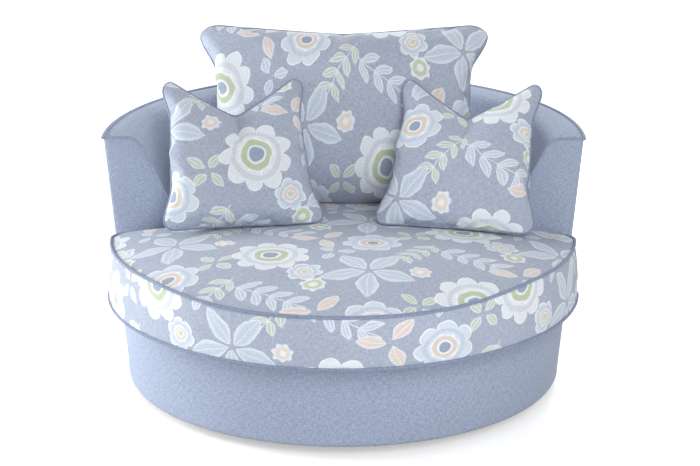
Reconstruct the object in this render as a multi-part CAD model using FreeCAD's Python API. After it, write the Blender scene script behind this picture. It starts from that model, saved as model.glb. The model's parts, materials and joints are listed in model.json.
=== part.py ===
import FreeCAD, Part
import math
import os

# Round swivel tub chair with a loose seat cushion, a loose back cushion and two scatter cushions.
# Millimetres. The origin is on the floor, on the swivel axis. +Z is up and the seat faces -Y.

V = FreeCAD.Vector
UP = V(0, 0, 1)
BIG = 2000

# Driving dimensions of the whole chair
TOTAL_HEIGHT = 890
HALF_WIDTH = 620
FRONT_REACH = 690
ARM_FRONT_Y = -60
ARM_TOP_Z = 640
RIM_RISE_PER_MM = 0.1044
SKIRT_Z = 30
SKIRT_R = HALF_WIDTH - 48
PIPING_R = 5
FACING_CORD_R = 4.5
RUNNING_GAP = 0.3
SOFT_GAP = 0.3

# Upholstery layers
COVER_T = 5
PANEL_T = 4
INNER_COVER_T = 3
FACING_T = 8
TOP_PAD_T = 12
INNER_PAD_T = 50
FORMER_T = 4

# Tub: inner wall, flat top and rolled edge
WELL_R = 410
WELL_KNEE_Z = 398
WALL_LEAN_DEG = 26
ROLL_R = 42

# Plinth, glides and king bolt
GLIDE_H = 6
GLIDE_R = 18
GLIDE_COUNT = 8
GLIDE_RING_R = 360
CENTRE_PAD_R = 28
CENTRE_PAD_FLOOR = 1.2
PLINTH_R = 400
PLINTH_T = 18
KING_R = 8
KING_HEAD_R = 18
KING_HEAD_H = 4.5
KING_BORE_GAP = 0.5
KING_WASHER_R = 20
KING_WASHER_T = 3
KING_NUT_R = 13
KING_NUT_H = 13
KING_END = 4

# Swivel bearing
BALL_R = 4
BALL_RING_R = 175
BALL_COUNT = 24
BALL_GAP = 0.05
RACE_T = 4
RACE_LAND = 25
LOWER_RACE_IN_R = 122
UPPER_RACE_OUT_R = 228
GROOVE_DEPTH = 1.5
CAGE_T = 2
CAGE_HALF_W = 9
RACE_SCREW_R = 2.5
RACE_SCREW_HEAD_R = 5
RACE_SCREW_HEAD_H = 2.5
RACE_SCREW_RING_R = 137
RACE_SCREW_COUNT = 6
RACE_SCREW_L = 16

# Timber base frame
SWIVEL_BOARD_W = 500
SWIVEL_BOARD_T = 18
RAIL_W = 60
RAIL_H = 40
RAIL_OFFSET = 150
RAIL_END_R = 545
BOLT_R = 3
BOLT_HEAD_R = 6
BOLT_HEAD_H = 4
BOLT_NUT_R = 5.5
BOLT_NUT_H = 5
HOOP_T = 18
HOOP_SEGMENTS = 8
LOWER_HOOP_IN_R = 505
SEAT_HOOP_IN_R = 510
SEAT_HOOP_TOP_Z = 222
POST_COUNT = 12
POST_W = 50
POST_D = 36
POST_IN_R = 512
DUST_COVER_T = 1.5
DUST_COVER_IN_R = 235

# Seat deck and springs
SPRING_COUNT = 7
SPRING_PITCH_X = 90
SPRING_WIRE_R = 2.2
SPRING_TURN_R = 16
SPRING_RUN = 20
SPRING_TURNS = 22
SPRING_RAIL_FRONT_Y = -400
SPRING_RAIL_W = 30
SPRING_RAIL_H = 45
CLIP_W = 24
CLIP_L = 16
CLIP_T = 6
DECK_R = 505
DECK_TOP_Z = 248.7

# Tub frame
RIB_T = 18
RIB_COUNT = 7
RIB_FIRST_DEG = 12
RIB_LAST_DEG = 168
TOP_RAIL_T = 22
ARM_BOARD_T = 18
ARM_BOARD_INSET = 20

# Seat cushion: boxed, with two ears in front of the arms
SEAT_BOTTOM_Z = 249
SEAT_WELT_Z = 397
SEAT_CROWN_Z = 430
SEAT_TOP_HALF_W = HALF_WIDTH - 24
SEAT_BOTTOM_HALF_W = HALF_WIDTH - 10
SEAT_BOTTOM_FRONT = FRONT_REACH - 26
SEAT_OVAL_Y = -15
SEAT_SHOULDER_SHARE = 0.72
SEAT_REAR_R = WELL_R - 9
SEAT_REAR_MID_DEG = 36
SEAT_EAR_Y = ARM_FRONT_Y - 12
SEAT_EAR_CORNER = 46
SEAT_BULGE = 6
SEAT_CROWN_Y = -150
SEAT_CROWN_STEPS = (0.93, 0.78, 0.55, 0.28)
CUSHION_SKIN_T = 2
ZIP_H = 30
ZIP_T = 1.5
ZIP_HALF_DEG = 32
WELT_R = 4
WELT_H = 4.8

# Loose cushions with a knife edge: width, height, thickness, dip of the top edge, draw-in of sides
EDGE_T = 12
EDGE_MARGIN = 3
PILLOW_CORNER = 0.05
PILLOW_CORD_R = 3.2
CORD_OFFSET = 4.2
EAR_R = 3.5
BELLY_EDGE = 2
BELLY_SPREAD = 2.4
BELLY_ROUND = 0.75
BELLY_HEIGHT = 0.47
DIP_POWER = 1.5
BACK_W = 758
BACK_THICK = 230
BACK_DIP = 22
BACK_SIDE_IN = 46
BACK_BOTTOM_IN = 8
BACK_LEAN_DEG = 19
BACK_FOOT = V(-4, 118, 0)
PILLOW_STATIONS = (-1, -0.86, -0.6, -0.28, 0, 0.28, 0.6, 0.86, 1)
SIDE_STATIONS = (0.12, 0.3, 0.5, 0.7, 0.88)
SCATTER_W = 390
SCATTER_H = 414
SCATTER_THICK = 140
SCATTER_DIP = 88
SCATTER_SIDE_IN = 24
SCATTER_BOTTOM_IN = 7
SCATTER_LEAN_DEG = 37
SCATTER_LEFT_FOOT = V(-243, -172, 0)
SCATTER_LEFT_TURN_DEG = 11.4
SCATTER_RIGHT_FOOT = V(274, -174, 0)
SCATTER_RIGHT_TURN_DEG = -14.4
SETTLE_STEPS = 5
TRIAL_DROP = 16

# Heights that follow from the stack
PLINTH_TOP = GLIDE_H + PLINTH_T
BALL_Z = PLINTH_TOP + RACE_T - GROOVE_DEPTH + BALL_R + BALL_GAP
RACE_SPACE = 2 * (BALL_Z - PLINTH_TOP - RACE_T)
UPPER_RACE_Z = PLINTH_TOP + RACE_T + RACE_SPACE
BOARD_Z = UPPER_RACE_Z + RACE_T
RAIL_Z = BOARD_Z + SWIVEL_BOARD_T
RAIL_TOP = RAIL_Z + RAIL_H
SEAT_HOOP_Z = SEAT_HOOP_TOP_Z - HOOP_T
WIRE_Z = SEAT_HOOP_TOP_Z + SPRING_WIRE_R + RUNNING_GAP
DECK_Z = WIRE_Z + SPRING_WIRE_R + SOFT_GAP

# Tub wall lines
WALL_TOP_R = HALF_WIDTH - PIPING_R
WALL_SLOPE = (WALL_TOP_R - SKIRT_R) / (ARM_TOP_Z - SKIRT_Z)
SEAM_Y = ARM_FRONT_Y + FACING_T
FRAME_INSET = COVER_T + PANEL_T
RAIL_TOP_DROP = INNER_COVER_T + TOP_PAD_T
RAIL_FOOT_DROP = RAIL_TOP_DROP + TOP_RAIL_T
PROFILE_FOOT_Z = -150


def write(name, solids):
    """Save one sub-part, made of one or more solids, as its own STEP file."""
    pieces = solids if isinstance(solids, list) else [solids]
    found = [solid for piece in pieces for solid in piece.Solids]
    shape = found[0] if len(found) == 1 else Part.makeCompound(found)
    valid = all(solid.isValid() for solid in found)
    shape.exportStep("parts/" + name + ".step")
    print(name, len(found), "solids", round(shape.Volume / 1000), "cm3", "" if valid else "NOT VALID")


def wall_r(z):
    """Radius of the chair's outside at height z, before the tub's rise to the back."""
    return SKIRT_R + WALL_SLOPE * (z - SKIRT_Z)


def disc(radius, z, height, x=0, y=0):
    return Part.makeCylinder(radius, height, V(x, y, z))


def ring(inner, outer, z, height):
    return disc(outer, z, height).cut(disc(inner, z, height))


def box(x_low, x_high, y_low, y_high, z_low, z_high):
    return Part.makeBox(x_high - x_low, y_high - y_low, z_high - z_low, V(x_low, y_low, z_low))


def at_angle(shape, degrees):
    turned = shape.copy()
    turned.rotate(V(0, 0, 0), UP, degrees)
    return turned


def profile_edge(first, last):
    return Part.makeLine(V(0, -first[0], first[1]), V(0, -last[0], last[1]))


def turned_profile(points, arcs=None):
    """Revolve a closed (radius, height) outline; arcs maps a start index to its middle point."""
    arcs = arcs or {}
    edges = []
    for index, point in enumerate(points):
        following = points[(index + 1) % len(points)]
        if index in arcs:
            middle = arcs[index]
            bend = Part.Arc(V(0, -point[0], point[1]), V(0, -middle[0], middle[1]),
                            V(0, -following[0], following[1]))
            edges.append(bend.toShape())
        else:
            edges.append(profile_edge(point, following))
    face = Part.Face(Part.Wire(edges))
    return face.revolve(V(0, 0, 0), UP, 360)


def raised_to_back(shape):
    """Shear a revolved layer so that its rim climbs evenly from the arms to the back."""
    shear = FreeCAD.Matrix()
    shear.A32 = RIM_RISE_PER_MM
    shear.A34 = -RIM_RISE_PER_MM * SEAM_Y
    return shape.transformGeometry(shear)


def tub_layer(points, y_low, z_low, arcs=None, y_high=BIG):
    """A layer of the tub wall: its profile revolved, raised to the back and trimmed."""
    layer = raised_to_back(turned_profile(points, arcs))
    return layer.common(box(-BIG, BIG, y_low, y_high, z_low, BIG))


def inner_line(offset):
    """Points of the tub's inner profile, moved into the wall by offset: foot, knee, roll, top."""
    lean = math.radians(WALL_LEAN_DEG)
    out_r = math.cos(lean)
    out_z = -math.sin(lean)
    knee_shift = offset * math.tan(lean / 2)
    knee = (WELL_R + offset, WELL_KNEE_Z - knee_shift)
    top_z = ARM_TOP_Z - offset
    roll = ROLL_R - offset
    centre_z = ARM_TOP_Z - ROLL_R
    knee_gap = centre_z - WELL_KNEE_Z
    centre_r = WELL_R + (ROLL_R + knee_gap * math.sin(lean)) / math.cos(lean)
    roll_foot = (centre_r - roll * out_r, centre_z - roll * out_z)
    half_turn = (math.pi / 2 - lean) / 2
    roll_mid = (centre_r - roll * math.sin(half_turn), centre_z + roll * math.cos(half_turn))
    return knee, roll_foot, roll_mid, (centre_r, top_z)


def inner_former_r(offset, drop):
    """Radius of the sloped line at an offset into the wall, at a drop below the rim."""
    lean = math.radians(WALL_LEAN_DEG)
    knee = inner_line(offset)[0]
    return knee[0] + (ARM_TOP_Z - drop - knee[1]) * math.tan(lean)


def front_core(inset, z_low, z_high):
    """Solid inside the chair's front band, at an inset from its outside."""
    cone = Part.makeCone(wall_r(z_low) - inset, wall_r(z_high) - inset, z_high - z_low, V(0, 0, z_low))
    return cone.common(box(-BIG, BIG, -BIG, SEAM_Y, z_low, z_high))


def rear_core(inset, z_low, z_high):
    """Solid inside the tub's outside wall, at an inset from it."""
    points = [(0, PROFILE_FOOT_Z), (wall_r(PROFILE_FOOT_Z) - inset, PROFILE_FOOT_Z),
              (wall_r(ARM_TOP_Z) - inset, ARM_TOP_Z), (0, ARM_TOP_Z)]
    core = raised_to_back(turned_profile(points))
    return core.common(box(-BIG, BIG, SEAM_Y, BIG, z_low, z_high))


def wall_band(inset, thickness, drop):
    """Profile of a layer that follows the tub's outside wall."""
    top = ARM_TOP_Z - drop
    return [(wall_r(PROFILE_FOOT_Z) - inset - thickness, PROFILE_FOOT_Z),
            (wall_r(PROFILE_FOOT_Z) - inset, PROFILE_FOOT_Z),
            (wall_r(top) - inset, top),
            (wall_r(top) - inset - thickness, top)]


def hexagon(radius, height, x, y, z):
    points = [V(x + radius * math.cos(math.radians(60 * k)), y + radius * math.sin(math.radians(60 * k)), z)
              for k in range(7)]
    return Part.Face(Part.makePolygon(points)).extrude(V(0, 0, height))


def bolt_places():
    """Where the long and short rails cross: the bolts of the upper race."""
    return [(sx * RAIL_OFFSET, sy * RAIL_OFFSET) for sx in (-1, 1) for sy in (-1, 1)]


def rail_end_places():
    """Bolts that hold the rails' ends on the lower hoop."""
    reach = math.sqrt(RAIL_END_R ** 2 - (RAIL_OFFSET + RAIL_W / 2) ** 2) - 2.5 * BOLT_HEAD_R
    along = [(sx * RAIL_OFFSET, sy * reach) for sx in (-1, 1) for sy in (-1, 1)]
    return along + [(y, x) for x, y in along]


# Plinth: the part that stands on the floor
def make_plinth():
    glides = []
    for k in range(GLIDE_COUNT):
        foot = disc(GLIDE_R, 0, GLIDE_H, GLIDE_RING_R)
        glides.append(at_angle(foot, (k + 0.5) * 360 / GLIDE_COUNT))
    write("glides", glides)
    pocket = disc(KING_HEAD_R + RUNNING_GAP, CENTRE_PAD_FLOOR, GLIDE_H)
    write("centre_pad", disc(CENTRE_PAD_R, 0, GLIDE_H).cut(pocket))

    board = disc(PLINTH_R, GLIDE_H, PLINTH_T)
    board = board.cut(disc(KING_R, GLIDE_H, PLINTH_T))
    for place in race_screw_places():
        board = board.cut(disc(RACE_SCREW_R, PLINTH_TOP - RACE_SCREW_L, RACE_SCREW_L, *place))
    write("plinth_board", board)

    king = disc(KING_HEAD_R, GLIDE_H - KING_HEAD_H, KING_HEAD_H)
    king_top = RAIL_Z + RUNNING_GAP + KING_WASHER_T + KING_NUT_H + KING_END
    king = king.fuse(disc(KING_R, GLIDE_H, king_top - GLIDE_H)).removeSplitter()
    write("king_bolt", king)
    washer_z = RAIL_Z + RUNNING_GAP
    write("king_washer", ring(KING_R, KING_WASHER_R, washer_z, KING_WASHER_T))
    nut = hexagon(KING_NUT_R, KING_NUT_H, 0, 0, washer_z + KING_WASHER_T)
    write("king_nut", nut.cut(disc(KING_R, washer_z, 2 * KING_NUT_H)))


def race_screw_places():
    step = 2 * math.pi / RACE_SCREW_COUNT
    return [(RACE_SCREW_RING_R * math.cos(k * step), RACE_SCREW_RING_R * math.sin(k * step))
            for k in range(RACE_SCREW_COUNT)]


# Swivel bearing: two pressed races, a ball ring and its cage
def make_bearing():
    groove = Part.makeTorus(BALL_RING_R, BALL_R + BALL_GAP, V(0, 0, BALL_Z))
    lower = ring(LOWER_RACE_IN_R, BALL_RING_R + RACE_LAND, PLINTH_TOP, RACE_T).cut(groove)
    for place in race_screw_places():
        lower = lower.cut(disc(RACE_SCREW_R, PLINTH_TOP, RACE_T, *place))
    write("lower_race", lower)

    screws = []
    for place in race_screw_places():
        shank = disc(RACE_SCREW_R, PLINTH_TOP - RACE_SCREW_L, RACE_SCREW_L + RACE_T, *place)
        head = disc(RACE_SCREW_HEAD_R, PLINTH_TOP + RACE_T, RACE_SCREW_HEAD_H, *place)
        screws.append(shank.fuse(head).removeSplitter())
    write("lower_race_screws", screws)

    upper = ring(BALL_RING_R - RACE_LAND, UPPER_RACE_OUT_R, UPPER_RACE_Z, RACE_T).cut(groove)
    for place in bolt_places():
        upper = upper.cut(disc(BOLT_R, UPPER_RACE_Z, RACE_T, *place))
    write("upper_race", upper)

    cage = ring(BALL_RING_R - CAGE_HALF_W, BALL_RING_R + CAGE_HALF_W, BALL_Z - CAGE_T / 2, CAGE_T)
    balls = []
    for k in range(BALL_COUNT):
        angle = 2 * math.pi * k / BALL_COUNT
        centre = V(BALL_RING_R * math.cos(angle), BALL_RING_R * math.sin(angle), BALL_Z)
        balls.append(Part.makeSphere(BALL_R, centre))
        cage = cage.cut(disc(BALL_R + RUNNING_GAP, BALL_Z - CAGE_T, 2 * CAGE_T, centre.x, centre.y))
    write("bearing_balls", balls)
    write("ball_cage", cage)


# Timber base that turns on the bearing
def make_base_frame():
    half = SWIVEL_BOARD_W / 2
    board = box(-half, half, -half, half, BOARD_Z, RAIL_Z)
    board = board.cut(disc(KING_R + KING_BORE_GAP, BOARD_Z, SWIVEL_BOARD_T))
    bolts = []
    nuts = []
    for place in bolt_places():
        shank = disc(BOLT_R, UPPER_RACE_Z - BOLT_NUT_H, RAIL_TOP - UPPER_RACE_Z + BOLT_NUT_H, *place)
        board = board.cut(shank)
        head = disc(BOLT_HEAD_R, RAIL_TOP, BOLT_HEAD_H, *place)
        bolts.append(shank.fuse(head).removeSplitter())
        nut = hexagon(BOLT_NUT_R, BOLT_NUT_H, place[0], place[1], UPPER_RACE_Z - BOLT_NUT_H)
        nuts.append(nut.cut(shank))
    write("swivel_board", board)
    write("upper_race_nuts", nuts)

    reach = math.sqrt(RAIL_END_R ** 2 - (RAIL_OFFSET + RAIL_W / 2) ** 2)
    near = RAIL_OFFSET - RAIL_W / 2
    far = RAIL_OFFSET + RAIL_W / 2
    drills = [disc(BOLT_R, BOARD_Z, RAIL_TOP, *place) for place in bolt_places() + rail_end_places()]
    long_rails = [box(low, low + RAIL_W, -reach, reach, RAIL_Z, RAIL_TOP) for low in (-far, near)]
    short_rails = []
    for low in (-far, near):
        for x_low, x_high in ((-reach, -far), (-near, near), (far, reach)):
            short_rails.append(box(x_low, x_high, low, low + RAIL_W, RAIL_Z, RAIL_TOP))
    write("long_rails", [rail.cut(drills) for rail in long_rails])
    write("short_rails", [rail.cut(drills) for rail in short_rails])

    core = front_core(FRAME_INSET + SOFT_GAP, SKIRT_Z, DECK_TOP_Z)
    core = core.fuse(rear_core(FRAME_INSET + SOFT_GAP, SKIRT_Z, DECK_TOP_Z)).removeSplitter()
    lower_hoop = hoop(LOWER_HOOP_IN_R, BOARD_Z, core)
    end_drills = [disc(BOLT_R, BOARD_Z, RAIL_TOP, *place) for place in rail_end_places()]
    write("lower_hoop", [segment.cut(end_drills) for segment in lower_hoop])
    write("seat_hoop", hoop(SEAT_HOOP_IN_R, SEAT_HOOP_Z, core))
    for place in rail_end_places():
        shank = disc(BOLT_R, BOARD_Z, RAIL_TOP - BOARD_Z, *place)
        bolts.append(shank.fuse(disc(BOLT_HEAD_R, RAIL_TOP, BOLT_HEAD_H, *place)).removeSplitter())
    write("rail_bolts", bolts)

    posts = []
    for k in range(POST_COUNT):
        post = box(POST_IN_R, POST_IN_R + POST_D, -POST_W / 2, POST_W / 2, RAIL_Z, SEAT_HOOP_Z)
        posts.append(at_angle(post, 360 * k / POST_COUNT))
    write("drum_posts", posts)

    dust = Part.makeCylinder(BIG, DUST_COVER_T, V(0, 0, BOARD_Z - DUST_COVER_T)).common(core)
    write("dust_cover", dust.cut(disc(DUST_COVER_IN_R, 0, BOARD_Z)))


def hoop(inner, z, core):
    """A plywood hoop in equal segments, trimmed to the inside of the drum's panel."""
    angle = 360 / HOOP_SEGMENTS
    segments = []
    for k in range(HOOP_SEGMENTS):
        sector = Part.makeCylinder(HALF_WIDTH, HOOP_T, V(0, 0, z), UP, angle)
        sector = at_angle(sector.cut(disc(inner, z, HOOP_T)), k * angle)
        segments.append(sector.common(core))
    return segments


# Seat deck: rails, sinuous springs, clips and pads
def spring_rail_rear_y():
    return SPRING_RAIL_FRONT_Y + (SPRING_TURNS + 1) * 2 * SPRING_TURN_R


def zigzag_spring():
    """One sinuous spring: straight cross runs joined by half turns, with a lead at each end."""
    edges = []
    side = SPRING_RUN / 2
    y = SPRING_RAIL_FRONT_Y
    edges.append(Part.makeLine(V(0, y - CLIP_L / 2, 0), V(0, y + SPRING_TURN_R - side, 0)))
    y += SPRING_TURN_R
    edges.append(Part.Arc(V(0, y - side, 0), V(side * (1 - math.sqrt(0.5)), y - side * (1 - math.sqrt(0.5)), 0),
                          V(side, y, 0)).toShape())
    direction = 1
    for turn in range(SPRING_TURNS):
        x = side * direction
        middle = V(x + SPRING_TURN_R * direction, y + SPRING_TURN_R, 0)
        end = V(x, y + 2 * SPRING_TURN_R, 0)
        edges.append(Part.Arc(V(x, y, 0), middle, end).toShape())
        y += 2 * SPRING_TURN_R
        if turn < SPRING_TURNS - 1:
            edges.append(Part.makeLine(end, V(-x, y, 0)))
            direction = -direction
    side_x = side * direction
    edges.append(Part.Arc(V(side_x, y, 0),
                          V(side_x * (1 - math.sqrt(0.5)), y + side * (1 - math.sqrt(0.5)), 0),
                          V(0, y + side, 0)).toShape())
    edges.append(Part.makeLine(V(0, y + side, 0), V(0, spring_rail_rear_y() + CLIP_L / 2, 0)))
    path = Part.Wire(edges)
    start = V(0, SPRING_RAIL_FRONT_Y - CLIP_L / 2, 0)
    section = Part.Wire(Part.Circle(start, V(0, 1, 0), SPRING_WIRE_R).toShape())
    return path.makePipeShell([section], True, False)


def make_seat_deck():
    rails = []
    inside = disc(SEAT_HOOP_IN_R - RUNNING_GAP, 0, SEAT_HOOP_TOP_Z)
    for y in (SPRING_RAIL_FRONT_Y, spring_rail_rear_y()):
        rail = box(-SEAT_HOOP_IN_R, SEAT_HOOP_IN_R, y - SPRING_RAIL_W / 2, y + SPRING_RAIL_W / 2,
                   SEAT_HOOP_TOP_Z - SPRING_RAIL_H, SEAT_HOOP_TOP_Z)
        rails.append(rail.common(inside))
    write("spring_rails", rails)

    spring = zigzag_spring()
    springs = []
    clips = []
    first_x = -SPRING_PITCH_X * (SPRING_COUNT - 1) / 2
    for k in range(SPRING_COUNT):
        x = first_x + k * SPRING_PITCH_X
        laid = spring.copy()
        laid.translate(V(x, 0, WIRE_Z))
        springs.append(laid)
        for y in (SPRING_RAIL_FRONT_Y, spring_rail_rear_y()):
            clip = box(x - CLIP_W / 2, x + CLIP_W / 2, y - CLIP_L / 2, y + CLIP_L / 2,
                       SEAT_HOOP_TOP_Z, SEAT_HOOP_TOP_Z + CLIP_T)
            clear = SPRING_WIRE_R + RUNNING_GAP
            bore = Part.makeCylinder(clear, BIG, V(x, -BIG / 2, WIRE_Z), V(0, 1, 0))
            mouth = box(x - clear, x + clear, y - CLIP_L, y + CLIP_L, SEAT_HOOP_Z, WIRE_Z)
            clips.append(clip.cut(bore).cut(mouth))
    write("seat_springs", springs)
    write("spring_clips", clips)

    pad = disc(DECK_R, DECK_Z, DECK_TOP_Z - DECK_Z)
    for clip in clips:
        bounds = clip.BoundBox
        pad = pad.cut(box(bounds.XMin - SOFT_GAP, bounds.XMax + SOFT_GAP, bounds.YMin - SOFT_GAP,
                          bounds.YMax + SOFT_GAP, 0, bounds.ZMax + SOFT_GAP))
    write("deck_pad", pad)

    roll_z = SEAT_HOOP_TOP_Z + SOFT_GAP
    roll = front_core(COVER_T + SOFT_GAP, roll_z, DECK_TOP_Z)
    write("front_edge_roll", roll.cut(disc(DECK_R + SOFT_GAP, roll_z, DECK_TOP_Z)))


# Front band of the drum, below the seat cushion
def make_front_band():
    shell = front_core(0, SKIRT_Z, DECK_TOP_Z).cut(front_core(COVER_T, SKIRT_Z, DECK_TOP_Z))
    write("front_band_cover", shell)
    panel = front_core(COVER_T, SKIRT_Z, SEAT_HOOP_TOP_Z)
    write("front_band_panel", panel.cut(front_core(FRAME_INSET, SKIRT_Z, SEAT_HOOP_TOP_Z)))


# Tub frame, padding and covers
def make_tub():
    write("outer_back_cover", tub_layer(wall_band(0, COVER_T, 0), SEAM_Y, SKIRT_Z))
    write("outer_back_panel", tub_layer(wall_band(COVER_T, PANEL_T, RAIL_TOP_DROP), SEAM_Y, SKIRT_Z))

    behind_board = SEAM_Y + ARM_BOARD_T
    rail_in_r = inner_former_r(INNER_PAD_T + INNER_COVER_T, RAIL_FOOT_DROP)
    rail_top_z = ARM_TOP_Z - RAIL_TOP_DROP
    rail_foot_z = ARM_TOP_Z - RAIL_FOOT_DROP
    rail_out_top = wall_r(rail_top_z) - FRAME_INSET - SOFT_GAP
    rail_out_foot = wall_r(rail_foot_z) - FRAME_INSET - SOFT_GAP
    rail_points = [(rail_in_r, rail_foot_z), (rail_out_foot, rail_foot_z),
                   (rail_out_top, rail_top_z), (rail_in_r, rail_top_z)]
    write("top_rail", tub_layer(rail_points, behind_board, SEAT_HOOP_TOP_Z))

    former_in = INNER_COVER_T + INNER_PAD_T + SOFT_GAP
    former_out = former_in + FORMER_T
    former_top = rail_foot_z - SOFT_GAP
    in_knee = inner_line(former_in)[0]
    out_knee = inner_line(former_out)[0]
    former_points = [(in_knee[0], PROFILE_FOOT_Z), (out_knee[0], PROFILE_FOOT_Z), out_knee,
                     (inner_former_r(former_out, RAIL_FOOT_DROP + SOFT_GAP), former_top),
                     (inner_former_r(former_in, RAIL_FOOT_DROP + SOFT_GAP), former_top), in_knee]
    write("inner_former", tub_layer(former_points, behind_board, SEAT_BOTTOM_Z))

    rib_in = former_out + SOFT_GAP
    rib_knee = inner_line(rib_in)[0]
    rib_top = rail_foot_z
    rib_points = [(rib_knee[0], PROFILE_FOOT_Z),
                  (wall_r(PROFILE_FOOT_Z) - FRAME_INSET - SOFT_GAP, PROFILE_FOOT_Z),
                  (wall_r(rib_top) - FRAME_INSET - SOFT_GAP, rib_top),
                  (inner_former_r(rib_in, RAIL_FOOT_DROP), rib_top), rib_knee]
    rib_zone = tub_layer(rib_points, behind_board, SEAT_HOOP_TOP_Z)
    rib_zone = rib_zone.cut(disc(DECK_R + RUNNING_GAP, 0, DECK_TOP_Z + RUNNING_GAP))
    ribs = []
    for k in range(RIB_COUNT):
        angle = RIB_FIRST_DEG + k * (RIB_LAST_DEG - RIB_FIRST_DEG) / (RIB_COUNT - 1)
        slab = at_angle(box(0, BIG, -RIB_T / 2, RIB_T / 2, 0, BIG), angle)
        ribs.append(rib_zone.common(slab))
    write("back_ribs", ribs)

    pad_in = inner_line(INNER_COVER_T)
    pad_out = inner_line(INNER_COVER_T + INNER_PAD_T)[0]
    pad_foot_z = rail_top_z + SOFT_GAP
    pad_top_z = ARM_TOP_Z - INNER_COVER_T
    pad_points = [pad_in[3], pad_in[1], pad_in[0], (pad_in[0][0], PROFILE_FOOT_Z),
                  (pad_out[0], PROFILE_FOOT_Z), pad_out,
                  (rail_in_r - SOFT_GAP, rail_foot_z), (rail_in_r - SOFT_GAP, pad_foot_z),
                  (wall_r(pad_foot_z) - COVER_T - SOFT_GAP, pad_foot_z),
                  (wall_r(pad_top_z) - COVER_T - SOFT_GAP, pad_top_z)]
    write("tub_padding", tub_layer(pad_points, behind_board + SOFT_GAP, SEAT_BOTTOM_Z, {0: pad_in[2]}))

    face_in = inner_line(0)
    cover_points = [face_in[3], face_in[1], face_in[0], (face_in[0][0], PROFILE_FOOT_Z),
                    (pad_in[0][0], PROFILE_FOOT_Z), pad_in[0], pad_in[1], pad_in[3],
                    (wall_r(pad_top_z) - COVER_T, pad_top_z), (WALL_TOP_R - COVER_T, ARM_TOP_Z)]
    cover = tub_layer(cover_points, SEAM_Y, SEAT_BOTTOM_Z, {0: face_in[2], 6: pad_in[2]})
    write("inner_back_cover", cover)

    corner_r = WALL_TOP_R
    diagonal = PIPING_R * math.sqrt(0.5)
    bead = [(corner_r, ARM_TOP_Z), (corner_r, ARM_TOP_Z - PIPING_R),
            (corner_r + diagonal, ARM_TOP_Z + diagonal), (corner_r - PIPING_R, ARM_TOP_Z)]
    near = PIPING_R * math.sin(math.pi / 8)
    far = PIPING_R * math.cos(math.pi / 8)
    bends = {1: (corner_r + far, ARM_TOP_Z - near), 2: (corner_r - near, ARM_TOP_Z + far)}
    write("rim_piping", tub_layer(bead, ARM_FRONT_Y, SEAT_BOTTOM_Z, bends))
    make_arm_fronts()


def wall_section(inset_in, inset_out, y_low, y_high, z_low):
    """Slice of the whole tub wall between two planes, one piece at each arm."""
    line = inner_line(inset_in)
    points = [line[3], line[1], line[0], (line[0][0], PROFILE_FOOT_Z),
              (wall_r(PROFILE_FOOT_Z) - inset_out, PROFILE_FOOT_Z),
              (wall_r(line[3][1]) - inset_out, line[3][1])]
    return tub_layer(points, y_low, z_low, {0: line[2]}, y_high)


def make_arm_fronts():
    """Facing panels, the boards behind them and the piping on their edges, left and right."""
    facing = wall_section(0, 0, ARM_FRONT_Y, SEAM_Y, DECK_TOP_Z + SOFT_GAP)
    board = wall_section(ARM_BOARD_INSET, FRAME_INSET + SOFT_GAP,
                         SEAM_Y + SOFT_GAP, SEAM_Y + ARM_BOARD_T - SOFT_GAP, SEAT_HOOP_TOP_Z)
    board = board.cut(disc(DECK_R + RUNNING_GAP, 0, DECK_TOP_Z + RUNNING_GAP))
    edge = facing_piping()
    for side, x_low, x_high in (("left", -BIG, 0), ("right", 0, BIG)):
        half = box(x_low, x_high, -BIG, BIG, 0, BIG)
        write("facing_" + side, facing.common(half))
        write("arm_board_" + side, board.common(half))
        cord = edge if side == "right" else edge.mirror(V(0, 0, 0), V(1, 0, 0))
        write("facing_piping_" + side, cord.cut(wall_block()))


def wall_block():
    """The whole tub wall as one solid, to trim the piping that sits on its edges."""
    line = inner_line(0)
    points = [line[3], line[1], line[0], (line[0][0], PROFILE_FOOT_Z),
              (wall_r(PROFILE_FOOT_Z), PROFILE_FOOT_Z), (WALL_TOP_R, ARM_TOP_Z)]
    return tub_layer(points, ARM_FRONT_Y, SKIRT_Z, {0: line[2]})


def facing_piping():
    """Round cord along the arm front's top and inner edge, at the arm's front plane."""
    def front_x(radius):
        return math.sqrt(radius ** 2 - ARM_FRONT_Y ** 2)
    knee, roll_foot, roll_mid, roll_top = inner_line(0)
    y = ARM_FRONT_Y
    start = V(front_x(WALL_TOP_R) - PIPING_R, y, ARM_TOP_Z)
    top = V(front_x(roll_top[0]), y, ARM_TOP_Z)
    mid = V(front_x(roll_mid[0]), y, roll_mid[1])
    foot = V(front_x(roll_foot[0]), y, roll_foot[1])
    low = V(front_x(knee[0]), y, knee[1])
    edges = [Part.makeLine(start, top), Part.Arc(top, mid, foot).toShape(), Part.makeLine(foot, low)]
    section = Part.Wire(Part.Circle(start, V(1, 0, 0), FACING_CORD_R).toShape())
    return Part.Wire(edges).makePipeShell([section], True, False, 1)


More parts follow.
